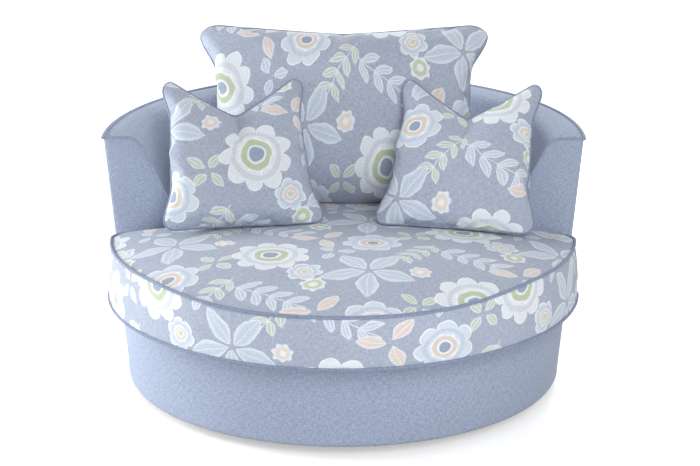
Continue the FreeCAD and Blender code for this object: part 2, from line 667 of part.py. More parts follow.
# Seat cushion
def seat_outline(z, half_w, front, rear_r, ear_y=SEAT_EAR_Y, scale=1.0):
    """Plan of the seat cushion: an oval front, two ears and a round rear part, as one wire."""
    depth = front + SEAT_OVAL_Y
    corner = SEAT_EAR_CORNER

    def oval_x(y):
        return half_w * math.sqrt(1 - ((y - SEAT_OVAL_Y) / depth) ** 2)

    def place(x, y):
        return V(x * scale, SEAT_CROWN_Y + (y - SEAT_CROWN_Y) * scale, z)

    side_y = ear_y - corner
    side_x = oval_x(side_y)
    shoulder_y = -front * SEAT_SHOULDER_SHARE
    shoulder_x = oval_x(shoulder_y)
    neck_x = math.sqrt(rear_r ** 2 - ear_y ** 2)
    flank_y = (side_y + shoulder_y) / 2
    brow_y = (shoulder_y - 3 * front) / 4
    bend = corner * (1 - math.sqrt(0.5))
    rear_mid = math.radians(SEAT_REAR_MID_DEG)
    right = [Part.Arc(place(0, -front), place(oval_x(brow_y), brow_y), place(shoulder_x, shoulder_y)),
             Part.Arc(place(shoulder_x, shoulder_y), place(oval_x(flank_y), flank_y), place(side_x, side_y)),
             Part.Arc(place(side_x, side_y), place(side_x - bend, ear_y - bend),
                      place(side_x - corner, ear_y)),
             Part.LineSegment(place(side_x - corner, ear_y), place(neck_x, ear_y)),
             Part.Arc(place(neck_x, ear_y),
                      place(rear_r * math.cos(rear_mid), rear_r * math.sin(rear_mid)), place(0, rear_r))]
    edges = [curve.toShape() for curve in right]
    mirrored = [edge.mirror(V(0, 0, 0), V(1, 0, 0)) for edge in reversed(edges)]
    return Part.Wire(edges + mirrored)


def seat_body(inset):
    """Boxed cushion with bulging sides and a crowned top, at an inset from its outside."""
    def level(z, half_w, front, bulge=0, scale=1.0):
        return seat_outline(z, half_w - inset + bulge, front - inset + bulge,
                            SEAT_REAR_R - inset + bulge / 2, SEAT_EAR_Y - inset, scale)
    top_half = SEAT_TOP_HALF_W
    top_front = FRONT_REACH - WELT_R
    mid_half = (SEAT_TOP_HALF_W + SEAT_BOTTOM_HALF_W) / 2
    mid_front = (top_front + SEAT_BOTTOM_FRONT) / 2
    bottom = level(SEAT_BOTTOM_Z + inset, SEAT_BOTTOM_HALF_W, SEAT_BOTTOM_FRONT)
    middle = level((SEAT_BOTTOM_Z + SEAT_WELT_Z) / 2, mid_half, mid_front, SEAT_BULGE)
    welt = level(SEAT_WELT_Z, top_half, top_front)
    boxing = Part.makeLoft([bottom, middle, welt], True, False)
    rise = SEAT_CROWN_Z - inset - SEAT_WELT_Z
    crown = [welt]
    for scale in SEAT_CROWN_STEPS:
        height = SEAT_WELT_Z + rise * math.sqrt(1 - scale ** 2)
        crown.append(level(height, top_half, top_front, 0, scale))
    return boxing.fuse(Part.makeLoft(crown, True, False))


def welt_ring(z, half_w, front, rear_r, cushion):
    """Corded seam round the cushion: a bead that stands out of the seam by its own radius."""
    foot_z = z - WELT_H / 2
    inner = Part.Face(seat_outline(foot_z, half_w, front, rear_r))
    outer = Part.Face(seat_outline(foot_z, half_w + WELT_R, front + WELT_R, rear_r + WELT_R,
                                   SEAT_EAR_Y + WELT_R))
    bead = outer.cut(inner).extrude(V(0, 0, WELT_H))
    return bead.cut(cushion)


def make_seat_cushion():
    outside = seat_body(0)
    write("seat_cushion_cover", outside.cut(seat_body(CUSHION_SKIN_T)))
    write("seat_cushion_foam", seat_body(CUSHION_SKIN_T + SOFT_GAP))
    top = welt_ring(SEAT_WELT_Z, SEAT_TOP_HALF_W, FRONT_REACH - WELT_R, SEAT_REAR_R, outside)
    low_z = SEAT_BOTTOM_Z + WELT_H / 2
    low = welt_ring(low_z, SEAT_BOTTOM_HALF_W, SEAT_BOTTOM_FRONT, SEAT_REAR_R, outside)
    write("seat_cushion_piping", [top, low])
    middle = (SEAT_BOTTOM_Z + SEAT_WELT_Z) / 2
    tape_r = SEAT_REAR_R + SEAT_BULGE / 2 + ZIP_T
    tape = ring(SEAT_REAR_R, tape_r, middle - ZIP_H / 2, ZIP_H)
    spread = 2 * ZIP_HALF_DEG
    wedge = Part.makeCylinder(tape_r, ZIP_H, V(0, 0, middle - ZIP_H / 2), UP, spread)
    write("seat_cushion_zip", tape.common(at_angle(wedge, 90 - ZIP_HALF_DEG)).cut(outside))


# Loose knife-edge cushions
def pillow_line(u, width, height, dip, bottom_in):
    """Lower and upper edge of a pillow at the distance u from its middle."""
    share = min(1.0, abs(2 * u / width))
    upper = height - dip * (1 - share ** DIP_POWER)
    lower = bottom_in * (1 - share ** 2)
    return lower, upper


def pillow_section(u, width, height, thick, dip, bottom_in, inset):
    """Lens-shaped section of a pillow, a little taller than its edge line so that it can be trimmed."""
    lower, upper = pillow_line(u, width, height, dip, bottom_in)
    share = min(1.0, abs(2 * u / width))
    edge = EDGE_T / 2 - inset
    rise = thick / 2 - EDGE_T / 2 - BELLY_EDGE
    belly = edge + BELLY_EDGE + rise * (1 - share ** BELLY_SPREAD) ** BELLY_ROUND
    low = lower + inset - EDGE_MARGIN
    high = upper - inset + EDGE_MARGIN
    middle = low + (high - low) * BELLY_HEIGHT
    corners = [V(u, -edge, low), V(u, -edge, high), V(u, edge, high), V(u, edge, low)]
    edges = [Part.Arc(corners[0], V(u, -belly, middle), corners[1]).toShape(),
             Part.makeLine(corners[1], corners[2]),
             Part.Arc(corners[2], V(u, belly, middle), corners[3]).toShape(),
             Part.makeLine(corners[3], corners[0])]
    return Part.Wire(edges)


def pillow_side(v, side, width, height, side_in):
    """Point of a drawn-in side edge at the share v of its height."""
    return V(side * (width / 2 - side_in * (1 - (2 * v - 1) ** 2)), 0, v * height)


def edge_points(width, height, dip, side_in, bottom_in, grow):
    """Points round a pillow's edge with its corners rounded, moved outwards by grow."""
    def flat(u, level):
        return V(u, 0, pillow_line(u, width, height, dip, bottom_in)[level])

    def corner(side, level):
        near_u = side * width * (0.5 - PILLOW_CORNER)
        near_v = PILLOW_CORNER if level == 0 else 1 - PILLOW_CORNER
        first = flat(near_u, level)
        last = pillow_side(near_v, side, width, height, side_in)
        tip = flat(side * width / 2, level)
        return [first, first * 0.25 + tip * 0.5 + last * 0.25, last]

    across = [share * width / 2 for share in PILLOW_STATIONS[1:-1]]
    half = len(across) // 2
    points = [flat(u, 0) for u in across[half:]] + corner(1, 0)
    points += [pillow_side(v, 1, width, height, side_in) for v in SIDE_STATIONS]
    points += corner(1, 1)[::-1] + [flat(u, 1) for u in reversed(across)] + corner(-1, 1)
    points += [pillow_side(v, -1, width, height, side_in) for v in reversed(SIDE_STATIONS)]
    points += corner(-1, 0)[::-1] + [flat(u, 0) for u in across[:half]]
    moved = []
    for index, point in enumerate(points):
        along = points[(index + 1) % len(points)] - points[index - 1]
        moved.append(point + outward(along) * grow)
    return moved


def outward(along):
    """Unit normal, in the pillow's plane, to the right of a direction."""
    return V(along.z, 0, -along.x).normalize()


def pillow(width, height, thick, dip, side_in, bottom_in, inset=0):
    """Crowned pillow standing on its lower edge at the origin, its front towards -Y."""
    sections = []
    for share in PILLOW_STATIONS:
        u = share * (width / 2 + EDGE_MARGIN - inset)
        sections.append(pillow_section(u, width, height, thick, dip, bottom_in, inset))
    body = Part.makeLoft(sections, True, False)
    edge = Part.BSplineCurve()
    edge.interpolate(Points=edge_points(width, height, dip, side_in, bottom_in, -inset), PeriodicFlag=True)
    trim = Part.Face(Part.Wire(edge.toShape()))
    trim.translate(V(0, -thick, 0))
    return body.common(trim.extrude(V(0, 2 * thick, 0)))


def cord_line(points, first_tip, last_tip):
    """Points of one side's cord: the edge moved outwards, between its two corner tips."""
    moved = [first_tip]
    for before, point, after in zip(points, points[1:], points[2:]):
        moved.append(point + outward(after - before) * CORD_OFFSET)
    return moved + [last_tip]


def pillow_piping(size):
    """Cord round a pillow's edge: one length along each side, with a small ear at each corner."""
    width, height, _, dip, side_in, bottom_in = size
    across = [share * width / 2 for share in PILLOW_STATIONS]
    up = (0,) + SIDE_STATIONS + (1,)
    sides = [[V(u, 0, pillow_line(u, width, height, dip, bottom_in)[0]) for u in across],
             [pillow_side(v, 1, width, height, side_in) for v in up],
             [V(u, 0, pillow_line(u, width, height, dip, bottom_in)[1]) for u in reversed(across)],
             [pillow_side(v, -1, width, height, side_in) for v in reversed(up)]]
    tips = []
    for index, side in enumerate(sides):
        last = outward(sides[index - 1][-1] - sides[index - 1][-2])
        first = outward(side[1] - side[0])
        tips.append(side[0] + (first + last) * (CORD_OFFSET / (1 + first.dot(last))))
    bead = None
    for index, side in enumerate(sides):
        path = Part.BSplineCurve()
        path.interpolate(cord_line(side, tips[index], tips[(index + 1) % len(sides)]))
        start = path.value(path.FirstParameter)
        along = path.tangent(path.FirstParameter)[0]
        section = Part.Wire(Part.Circle(start, along, PILLOW_CORD_R).toShape())
        length = Part.Wire([path.toShape()]).makePipeShell([section], True, False)
        bead = length if bead is None else bead.fuse(length)
    for tip in tips:
        bead = bead.fuse(Part.makeSphere(EAR_R, tip))
    return bead


def placed(shape, lean, turn, foot, foot_z):
    """Lean a pillow back, turn it about the upright axis and stand its lower edge at foot."""
    moved = shape.copy()
    moved.rotate(V(0, 0, 0), V(1, 0, 0), -lean)
    moved.rotate(V(0, 0, 0), UP, turn)
    moved.translate(V(foot.x, foot.y, foot_z))
    return moved


def lower_until_seated(shape, seat, foot_z):
    """Height of a pillow's lower edge at which it rests on the seat, one small gap above it."""
    height = foot_z
    for _ in range(SETTLE_STEPS):
        resting = shape.copy()
        resting.translate(V(0, 0, height - foot_z))
        height -= resting.distToShape(seat)[0] - SOFT_GAP
    return height


def make_pillow(name, size, lean, turn, foot, foot_z):
    """Write one loose cushion: its cover, its filling and its piping."""
    outside = pillow(*size)
    inside = pillow(*size, CUSHION_SKIN_T)
    filling = pillow(*size, CUSHION_SKIN_T + SOFT_GAP)
    for part, shape in (("cover", outside.cut(inside)), ("filling", filling), ("piping", pillow_piping(size))):
        write(name + "_" + part, placed(shape, lean, turn, foot, foot_z))


def seated_height(size, lean, turn, foot):
    """Rest a trial pillow on the seat's crown and give the height of its lower edge."""
    trial = Part.makeCompound([pillow(*size), pillow_piping(size)])
    start_z = SEAT_CROWN_Z + TRIAL_DROP
    crown = seat_body(0).common(box(-BIG, BIG, -BIG, BIG, SEAT_WELT_Z, BIG))
    return lower_until_seated(placed(trial, lean, turn, foot, start_z), crown, start_z)


def make_pillows():
    lean = math.radians(BACK_LEAN_DEG)
    shape = (BACK_THICK, BACK_DIP, BACK_SIDE_IN, BACK_BOTTOM_IN)
    trial_size = (BACK_W, TOTAL_HEIGHT - SEAT_CROWN_Z) + shape
    foot_z = seated_height(trial_size, BACK_LEAN_DEG, 0, BACK_FOOT)
    trial_piping = placed(pillow_piping(trial_size), BACK_LEAN_DEG, 0, BACK_FOOT, foot_z)
    trial_top = trial_piping.optimalBoundingBox(False, False).ZMax
    back_size = (BACK_W, trial_size[1] + (TOTAL_HEIGHT - trial_top) / math.cos(lean)) + shape
    make_pillow("back_cushion", back_size, BACK_LEAN_DEG, 0, BACK_FOOT, foot_z)
    scatter_size = (SCATTER_W, SCATTER_H, SCATTER_THICK, SCATTER_DIP, SCATTER_SIDE_IN, SCATTER_BOTTOM_IN)
    for name, foot, turn in (("scatter_left", SCATTER_LEFT_FOOT, SCATTER_LEFT_TURN_DEG),
                             ("scatter_right", SCATTER_RIGHT_FOOT, SCATTER_RIGHT_TURN_DEG)):
        foot_z = seated_height(scatter_size, SCATTER_LEAN_DEG, turn, foot)
        make_pillow(name, scatter_size, SCATTER_LEAN_DEG, turn, foot, foot_z)


os.makedirs("parts", exist_ok=True)
make_plinth()
make_bearing()
make_base_frame()
make_seat_deck()
make_front_band()
make_tub()
make_seat_cushion()
make_pillows()
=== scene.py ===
# %% [markdown]
# # A swivel tub chair with loose cushions
#
# The CAD model already holds the whole chair: its plinth, bearing, frame, springs and the soft parts as
# plain solids. This notebook keeps that model as a fixed frame and dresses it. Each cover, cushion and
# piping is modelled here as cloth, in metres, where the CAD solid is.

import json
import math

import bpy
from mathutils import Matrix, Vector, noise
from mathutils.bvhtree import BVHTree


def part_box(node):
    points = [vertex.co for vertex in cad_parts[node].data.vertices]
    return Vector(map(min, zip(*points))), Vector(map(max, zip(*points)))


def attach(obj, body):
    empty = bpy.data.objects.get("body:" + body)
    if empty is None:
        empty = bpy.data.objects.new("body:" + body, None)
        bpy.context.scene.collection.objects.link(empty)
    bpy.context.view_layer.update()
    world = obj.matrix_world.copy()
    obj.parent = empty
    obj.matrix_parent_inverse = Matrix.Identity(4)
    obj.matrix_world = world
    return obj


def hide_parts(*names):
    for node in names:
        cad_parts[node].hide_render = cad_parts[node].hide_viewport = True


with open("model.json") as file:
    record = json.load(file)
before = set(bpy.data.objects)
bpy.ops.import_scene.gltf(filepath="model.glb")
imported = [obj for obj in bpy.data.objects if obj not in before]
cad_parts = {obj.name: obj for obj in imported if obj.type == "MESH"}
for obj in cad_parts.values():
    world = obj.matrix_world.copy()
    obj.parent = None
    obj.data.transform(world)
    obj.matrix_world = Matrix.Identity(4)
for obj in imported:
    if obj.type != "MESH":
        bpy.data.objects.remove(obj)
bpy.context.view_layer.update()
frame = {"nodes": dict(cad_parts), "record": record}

# %% [markdown]
# ## Sizes that the covers share
#
# A cover has to lie exactly on its frame, so the few sizes that shape the tub are written once here: the
# flare of the wall, the roll of the arm and the even climb of the rim from the arms to the back.

# %% Sizes, in metres
FOOT_Z = 0.030
FOOT_R = 0.572
ARM_TOP = 0.646
RIM_R = 0.615
RIM_CLIMB = 0.1044
ARM_FRONT = -0.060
SEAM_Y = -0.052
WELL_R = 0.410
KNEE_Z = 0.398
WALL_LEAN = math.radians(26)
ROLL_R = 0.042
SEAT_LOW = 0.249
WELT_Z = 0.397
CROWN_Z = 0.430
RIM_CORD_R = 0.005
ARM_CORD_R = 0.0042
SEAT_CORD_R = 0.0040
CUSHION_CORD_R = 0.0035
FLARE = (RIM_R - FOOT_R) / (ARM_TOP - FOOT_Z)
ROLL_Z = ARM_TOP - ROLL_R
ROLL_CENTRE = WELL_R + (ROLL_R + (ROLL_Z - KNEE_Z) * math.sin(WALL_LEAN)) / math.cos(WALL_LEAN)


def wall_r(z):
    """Outside radius of the chair at height z, before the rim climbs."""
    return FOOT_R + FLARE * (z - FOOT_Z)


print("top of the roll starts at radius", round(ROLL_CENTRE, 4))

# %% [markdown]
# ## Small tools
#
# A cover is a sheet, so each starts as a grid whose points are moved to where the sheet lies. The same
# function also writes the sheet's flat measure, in metres, to its UV map, because a weave and a print
# follow the cloth and not the room. The pipings are long tubes, so they are grids too, rolled round a path.
# A cover is closed at last with a cloth's thickness behind its face, and a search tree over a finished
# piece tells its neighbours where its surface is.

# %% Spread a grid over a surface


def deselect():
    """Leaves nothing selected, because an operator acts on all that is."""
    if bpy.context.object and bpy.context.object.mode != "OBJECT":
        bpy.ops.object.mode_set(mode="OBJECT")
    bpy.ops.object.select_all(action="DESELECT")


def spread_cloth(name, across, along, place, measure):
    """Adds a grid, moves its points with place(s, t) and writes their flat place on the cloth to its UV map.

    measure(s, t, middle) is also told the shares at the middle of the face, for cloth that changes at a seam.
    """
    deselect()
    bpy.ops.mesh.primitive_grid_add(x_subdivisions=across, y_subdivisions=along, size=1)
    piece = bpy.context.active_object
    piece.name = name
    shares = [(point.co.x + 0.5, point.co.y + 0.5) for point in piece.data.vertices]
    cloth_map = piece.data.uv_layers[0]
    cloth_map.name = "cloth"
    for face in piece.data.polygons:
        around = [shares[k] for k in face.vertices]
        middle = (sum(s for s, _ in around) / 4, sum(t for _, t in around) / 4)
        for corner, share in zip(face.loop_indices, around):
            cloth_map.data[corner].uv = measure(*share, middle)
    for point, (s, t) in zip(piece.data.vertices, shares):
        point.co = place(s, t)
    return piece


def close_and_smooth(piece, merge=0.0):
    """Merges the points where a sheet meets itself, turns its faces outwards and shades it smooth."""
    deselect()
    bpy.context.view_layer.objects.active = piece
    piece.select_set(True)
    bpy.ops.object.mode_set(mode="EDIT")
    bpy.ops.mesh.select_all(action="SELECT")
    if merge:
        bpy.ops.mesh.remove_doubles(threshold=merge)
    bpy.ops.mesh.normals_make_consistent(inside=False)
    bpy.ops.object.mode_set(mode="OBJECT")
    bpy.ops.object.shade_smooth()
    return piece


# %% Give a cover its thickness
CLOTH_T = 0.0012


def thicken(piece, flip=False):
    """Closes an open cover with a back and an edge, one cloth's thickness behind its face."""
    deselect()
    bpy.context.view_layer.objects.active = piece
    piece.select_set(True)
    if flip:
        bpy.ops.object.mode_set(mode="EDIT")
        bpy.ops.mesh.select_all(action="SELECT")
        bpy.ops.mesh.flip_normals()
        bpy.ops.object.mode_set(mode="OBJECT")
    cloth = piece.modifiers.new("cloth_thickness", "SOLIDIFY")
    cloth.thickness = CLOTH_T
    cloth.offset = -1
    bpy.ops.object.modifier_apply(modifier="cloth_thickness")
    bpy.ops.object.shade_smooth()
    return piece


def surface_tree(piece):
    """A search tree over a finished piece, to find its nearest surface."""
    places = [point.co.copy() for point in piece.data.vertices]
    return BVHTree.FromPolygons(places, [tuple(face.vertices) for face in piece.data.polygons])


# %% Walk evenly along a line of points


def even_points(points, count, closed=False):
    """The same line, with its points spaced evenly."""
    line = [Vector(point) for point in points]
    if closed:
        line.append(line[0])
    marks = [0.0]
    for first, last in zip(line, line[1:]):
        marks.append(marks[-1] + (last - first).length)
    steps = count if closed else count - 1
    found = []
    leg = 0
    for k in range(count):
        wanted = marks[-1] * k / steps
        while leg < len(marks) - 2 and marks[leg + 1] < wanted:
            leg += 1
        share = (wanted - marks[leg]) / max(marks[leg + 1] - marks[leg], 1e-9)
        found.append(line[leg].lerp(line[leg + 1], min(share, 1.0)))
    return found, marks[-1]


# %% Roll a grid round a path, for piping
PITCH = 0.008
FINE_PITCH = 0.006
MERGE_REACH = 1e-5


def piping(name, path, radius, closed=False, pitch=PITCH, sides=10):
    """A round cord covered in bias-cut cloth, as a tube along a path."""
    length = even_points(path, 2, closed)[1]
    count = max(8, int(length / pitch))
    spine, length = even_points(path, count, closed)
    frames = []
    side = None
    for k, centre in enumerate(spine):
        after = spine[(k + 1) % count] if closed or k < count - 1 else centre
        before = spine[k - 1] if closed or k > 0 else centre
        ahead = (after - before).normalized()
        if side is None:
            side = ahead.orthogonal()
        side = (side - ahead * side.dot(ahead)).normalized()
        frames.append((centre, side, ahead.cross(side), radius))
    if not closed:
        for end, outwards in ((0, spine[0] - spine[1]), (-1, spine[-1] - spine[-2])):
            centre, side, up, _ = frames[end]
            out = outwards.normalized() * radius
            dome = [(centre + out * math.sin(turn), side, up, radius * math.cos(turn))
                    for turn in (math.pi / 6, math.pi / 3, math.pi / 2)]
            frames = frames + dome if end else dome[::-1] + frames
    rows = count if closed else len(frames) - 1

    def place(s, t):
        centre, across, up, r = frames[round(s * rows) % len(frames)]
        turn = 2 * math.pi * t
        return centre + r * (math.cos(turn) * across + math.sin(turn) * up)

    def measure(s, t, middle):
        along, around = s * length, t * 2 * math.pi * radius
        return ((along + around) * math.sqrt(0.5), (along - around) * math.sqrt(0.5))

    tube = spread_cloth(name, rows, sides, place, measure)
    return close_and_smooth(tube, merge=MERGE_REACH)


# %% [markdown]
# ## Camera
#
# The chair is seen from a little above arm height and almost straight on. A long lens keeps the front edge
# from swelling. Its place and its lens were worked out from the rim, the seat and the foot of the drum.

# %% Camera
camera = bpy.data.objects.new("camera", bpy.data.cameras.new("camera"))
bpy.context.scene.collection.objects.link(camera)
TIPPED_DOWN = 0.259
TURNED_LEFT = 0.014
camera.data.sensor_width = 36
camera.data.lens = 61.71
camera.location = (0.060, -3.069, 1.193)
camera.rotation_euler = (math.pi / 2 - TIPPED_DOWN, 0, TURNED_LEFT)
bpy.context.scene.camera = camera
bpy.context.scene.view_settings.view_transform = "Standard"
print("camera at", tuple(camera.location), "lens", camera.data.lens)

# %% [markdown]
# ## Materials
#
# Every finish is a small tree of nodes. One function adds a node with its settings and its links, and one
# turns an sRGB hex colour, as a paint chart gives it, into the linear colour that Blender mixes.

# %% Nodes and colours


def linear(code):
    """An sRGB hex colour such as '#A0ABC1' as linear RGBA."""
    shares = [int(code[k:k + 2], 16) / 255 for k in (1, 3, 5)]
    return [c / 12.92 if c <= 0.04045 else ((c + 0.055) / 1.055) ** 2.4 for c in shares] + [1.0]


def add(tree, kind, sockets=None, out=0, **settings):
    """Adds one node, sets and links its sockets, and gives the output that is wanted."""
    node = tree.nodes.new(kind)
    for key, value in settings.items():
        setattr(node, key, value)
    for key, value in (sockets or {}).items():
        if isinstance(value, bpy.types.NodeSocket):
            tree.links.new(value, node.inputs[key])
        else:
            node.inputs[key].default_value = value
    return node.outputs[out]


def start_material(name):
    """A new material with its tree and its empty surface shader."""
    material = bpy.data.materials.new(name)
    material.use_nodes = True
    tree = material.node_tree
    return material, tree, tree.nodes["Principled BSDF"]


# %% [markdown]
# ## Linen-look upholstery cloth
#
# The drum, the tub and every piping wear a plain weave of blue-grey yarn. The yarns are thick and thin in
# places, which gives the eye a soft mottle with short streaks both ways. Real threads are about 1 mm apart,
# too fine for a picture of this size, so they are drawn 1.6 mm apart. A little sheen stands for the fibres
# that stand up. The pipings wear darker copies of the cloth, painted shade that stands for the shadow line
# along each cord.

# %% Weave
THREAD = 0.0016
ALONG_WARP = (240, 1200, 1)
ALONG_WEFT = (1200, 240, 1)


def weave(tree, cloth):
    """Height of a plain weave, from 0 to 1, and how thick the yarn is at each point."""
    parts = add(tree, "ShaderNodeSeparateXYZ", {0: cloth})
    waves = []
    slubs = []
    for axis, stretch in (("X", ALONG_WARP), ("Y", ALONG_WEFT)):
        turns = add(tree, "ShaderNodeMath", {0: parts.node.outputs[axis], 1: math.pi / THREAD},
                    operation="MULTIPLY")
        wave = add(tree, "ShaderNodeMath", {0: turns}, operation="SINE")
        waves.append(add(tree, "ShaderNodeMath", {0: wave}, operation="ABSOLUTE"))
        yarn = add(tree, "ShaderNodeMapping", {"Vector": cloth, "Scale": stretch})
        slubs.append(add(tree, "ShaderNodeTexNoise", {"Vector": yarn, "Scale": 0.35, "Detail": 1.0}))
    height = add(tree, "ShaderNodeMath", {0: waves[0], 1: waves[1]}, operation="MULTIPLY")
    slub = add(tree, "ShaderNodeMath", {0: slubs[0], 1: slubs[1]}, operation="ADD")
    return height, slub


def finish_cloth(tree, shader, cloth, colour, height, slub):
    """The part of the surface that plain and printed cloth share: mottle, painted shade between the yarns,
    bump, roughness and sheen.
    """
    mottle = add(tree, "ShaderNodeTexNoise", {"Vector": cloth, "Scale": 9.0, "Detail": 3.0})
    soft = add(tree, "ShaderNodeMapRange", {"Value": mottle, "To Min": 0.96, "To Max": 1.04})
    yarn = add(tree, "ShaderNodeMapRange", {"Value": slub, "From Min": 0.7, "From Max": 1.3,
                                            "To Min": 0.93, "To Max": 1.06})
    # Painted shade: the colour is darker where the weave is low, between the yarns, and a little lighter on
    # their crowns.
    pit_shade = add(tree, "ShaderNodeMapRange", {"Value": height, "To Min": 0.90, "To Max": 1.04})
    shade = add(tree, "ShaderNodeMath", {0: soft, 1: yarn}, operation="MULTIPLY")
    shade = add(tree, "ShaderNodeMath", {0: shade, 1: pit_shade}, operation="MULTIPLY")
    tone = add(tree, "ShaderNodeVectorMath", {0: colour, "Scale": shade}, operation="SCALE")
    relief = add(tree, "ShaderNodeMath", {0: slub, 1: height}, operation="ADD")
    bump = add(tree, "ShaderNodeBump", {"Height": relief, "Strength": 0.35, "Distance": 0.0006})
    tree.links.new(tone, shader.inputs["Base Color"])
    tree.links.new(bump, shader.inputs["Normal"])
    shader.inputs["Roughness"].default_value = 0.88
    shader.inputs["Specular IOR Level"].default_value = 0.25
    shader.inputs["Sheen Weight"].default_value = 0.12
    shader.inputs["Sheen Roughness"].default_value = 0.5


def plain_linen_weave(name, dark, light):
    """Blue-grey cloth of a light warp and a darker weft."""
    material, tree, shader = start_material(name)
    cloth = add(tree, "ShaderNodeUVMap", uv_map="cloth")
    height, slub = weave(tree, cloth)
    share = add(tree, "ShaderNodeMapRange", {"Value": slub, "From Min": 0.75, "From Max": 1.25})
    colour = add(tree, "ShaderNodeMix", {0: share, 6: linear(dark), 7: linear(light)},
                 out=2, data_type="RGBA")
    finish_cloth(tree, shader, cloth, colour, height, slub)
    return material


plain_cloth = plain_linen_weave("plain_linen_weave", "#939EB5", "#A6B1C7")
# Darker copies of the plain cloth for the pipings: painted shade, standing in for the shadow line along each
# cord.
tub_piping_shaded_cloth = plain_linen_weave("tub_piping_painted_shade_linen", "#8994AC", "#9BA6BD")
cushion_piping_shaded_cloth = plain_linen_weave("cushion_piping_painted_shade_linen", "#7C87A0", "#8F9AB2")
print("made", plain_cloth.name, tub_piping_shaded_cloth.name, cushion_piping_shaded_cloth.name)

# %% [markdown]
# ## Printed linen
#
# The cushions are in the same weave with a large, loose print: open flowers, star-shaped groups of leaves,
# sprigs and small ring flowers, in off-white, pale blue, soft green and peach on grey-blue. A printed cloth
# repeats, each column half a repeat lower than the last, and so does this one. Each motif is drawn by a
# formula in its own copy of the repeat, so that no edge of the repeat cuts it.

# %% One motif's place in the repeat
REPEAT = (0.46, 0.40)
PETAL_WHITE = "#EEF2F5"
LEAF_WHITE = "#E6ECF2"
EYE_WHITE = "#E9EEF2"
STROKE_BLUE = "#8A95AD"
SPOKE_GREEN = "#8FA08C"
PALE_BLUE = "#CBD7E6"
PALEST_BLUE = "#DDE4EC"
DEEP_BLUE = "#8E9BB5"
PALE_GREEN = "#C3CFC0"
RING_GREEN = "#BDCAAA"
LEAF_GREEN = "#9FB088"
PALE_PEACH = "#E2D2C8"
DEEP_PEACH = "#C9B2A6"


def motif_place(tree, cloth, centre, turn):
    """Metres from the nearest repeat of a motif's centre, turned by an angle."""
    moved = add(tree, "ShaderNodeVectorMath", {0: cloth, 1: (centre[0], centre[1], 0)}, operation="SUBTRACT")
    parts = add(tree, "ShaderNodeSeparateXYZ", {0: moved})
    column = add(tree, "ShaderNodeMath", {0: parts, 1: REPEAT[0]}, operation="DIVIDE")
    column = add(tree, "ShaderNodeMath", {0: column}, operation="ROUND")
    drop = add(tree, "ShaderNodeMath", {0: column, 1: REPEAT[1] / 2, 2: parts.node.outputs["Y"]},
               operation="MULTIPLY_ADD")
    across = add(tree, "ShaderNodeMath", {0: column, 1: -REPEAT[0], 2: parts}, operation="MULTIPLY_ADD")
    row = add(tree, "ShaderNodeMath", {0: drop, 1: REPEAT[1]}, operation="DIVIDE")
    row = add(tree, "ShaderNodeMath", {0: row}, operation="ROUND")
    up = add(tree, "ShaderNodeMath", {0: row, 1: -REPEAT[1], 2: drop}, operation="MULTIPLY_ADD")
    local = add(tree, "ShaderNodeCombineXYZ", {0: across, 1: up})
    return add(tree, "ShaderNodeMapping", {"Vector": local, "Rotation": (0, 0, turn)})


def polar(tree, local):
    """Distance from the motif's centre, and the direction in radians."""
    parts = add(tree, "ShaderNodeSeparateXYZ", {0: local})
    reach = add(tree, "ShaderNodeVectorMath", {0: local}, out="Value", operation="LENGTH")
    angle = add(tree, "ShaderNodeMath", {0: parts.node.outputs["Y"], 1: parts}, operation="ARCTAN2")
    return reach, angle


def inside(tree, value, limit, blur=0.0012):
    """1 where value is below limit, 0 above, with a soft edge like ink on cloth."""
    gap = add(tree, "ShaderNodeMath", {0: limit, 1: value}, operation="SUBTRACT")
    return add(tree, "ShaderNodeMapRange", {"Value": gap, "From Min": -blur, "From Max": blur})


def paint(tree, colour, mask, code, strength=1.0):
    """Prints one ink over the colour so far, where the mask is 1."""
    amount = add(tree, "ShaderNodeMath", {0: mask, 1: strength}, operation="MULTIPLY")
    return add(tree, "ShaderNodeMix", {0: amount, 6: colour, 7: linear(code)}, out=2, data_type="RGBA")


def both(tree, first, second):
    """1 where both masks are 1."""
    return add(tree, "ShaderNodeMath", {0: first, 1: second}, operation="MULTIPLY")


def ticks(tree, value, pitch, share=0.0):
    """Strokes side by side, one each pitch of the value, and thinner where share is higher."""
    turns = add(tree, "ShaderNodeMath", {0: value, 1: 2 * math.pi / pitch}, operation="MULTIPLY")
    wave = add(tree, "ShaderNodeMath", {0: turns}, operation="SINE")
    return add(tree, "ShaderNodeMapRange", {"Value": wave, "From Min": share - 0.25,
                                            "From Max": share + 0.25})


# %% Open flower: petals round a ring and an eye


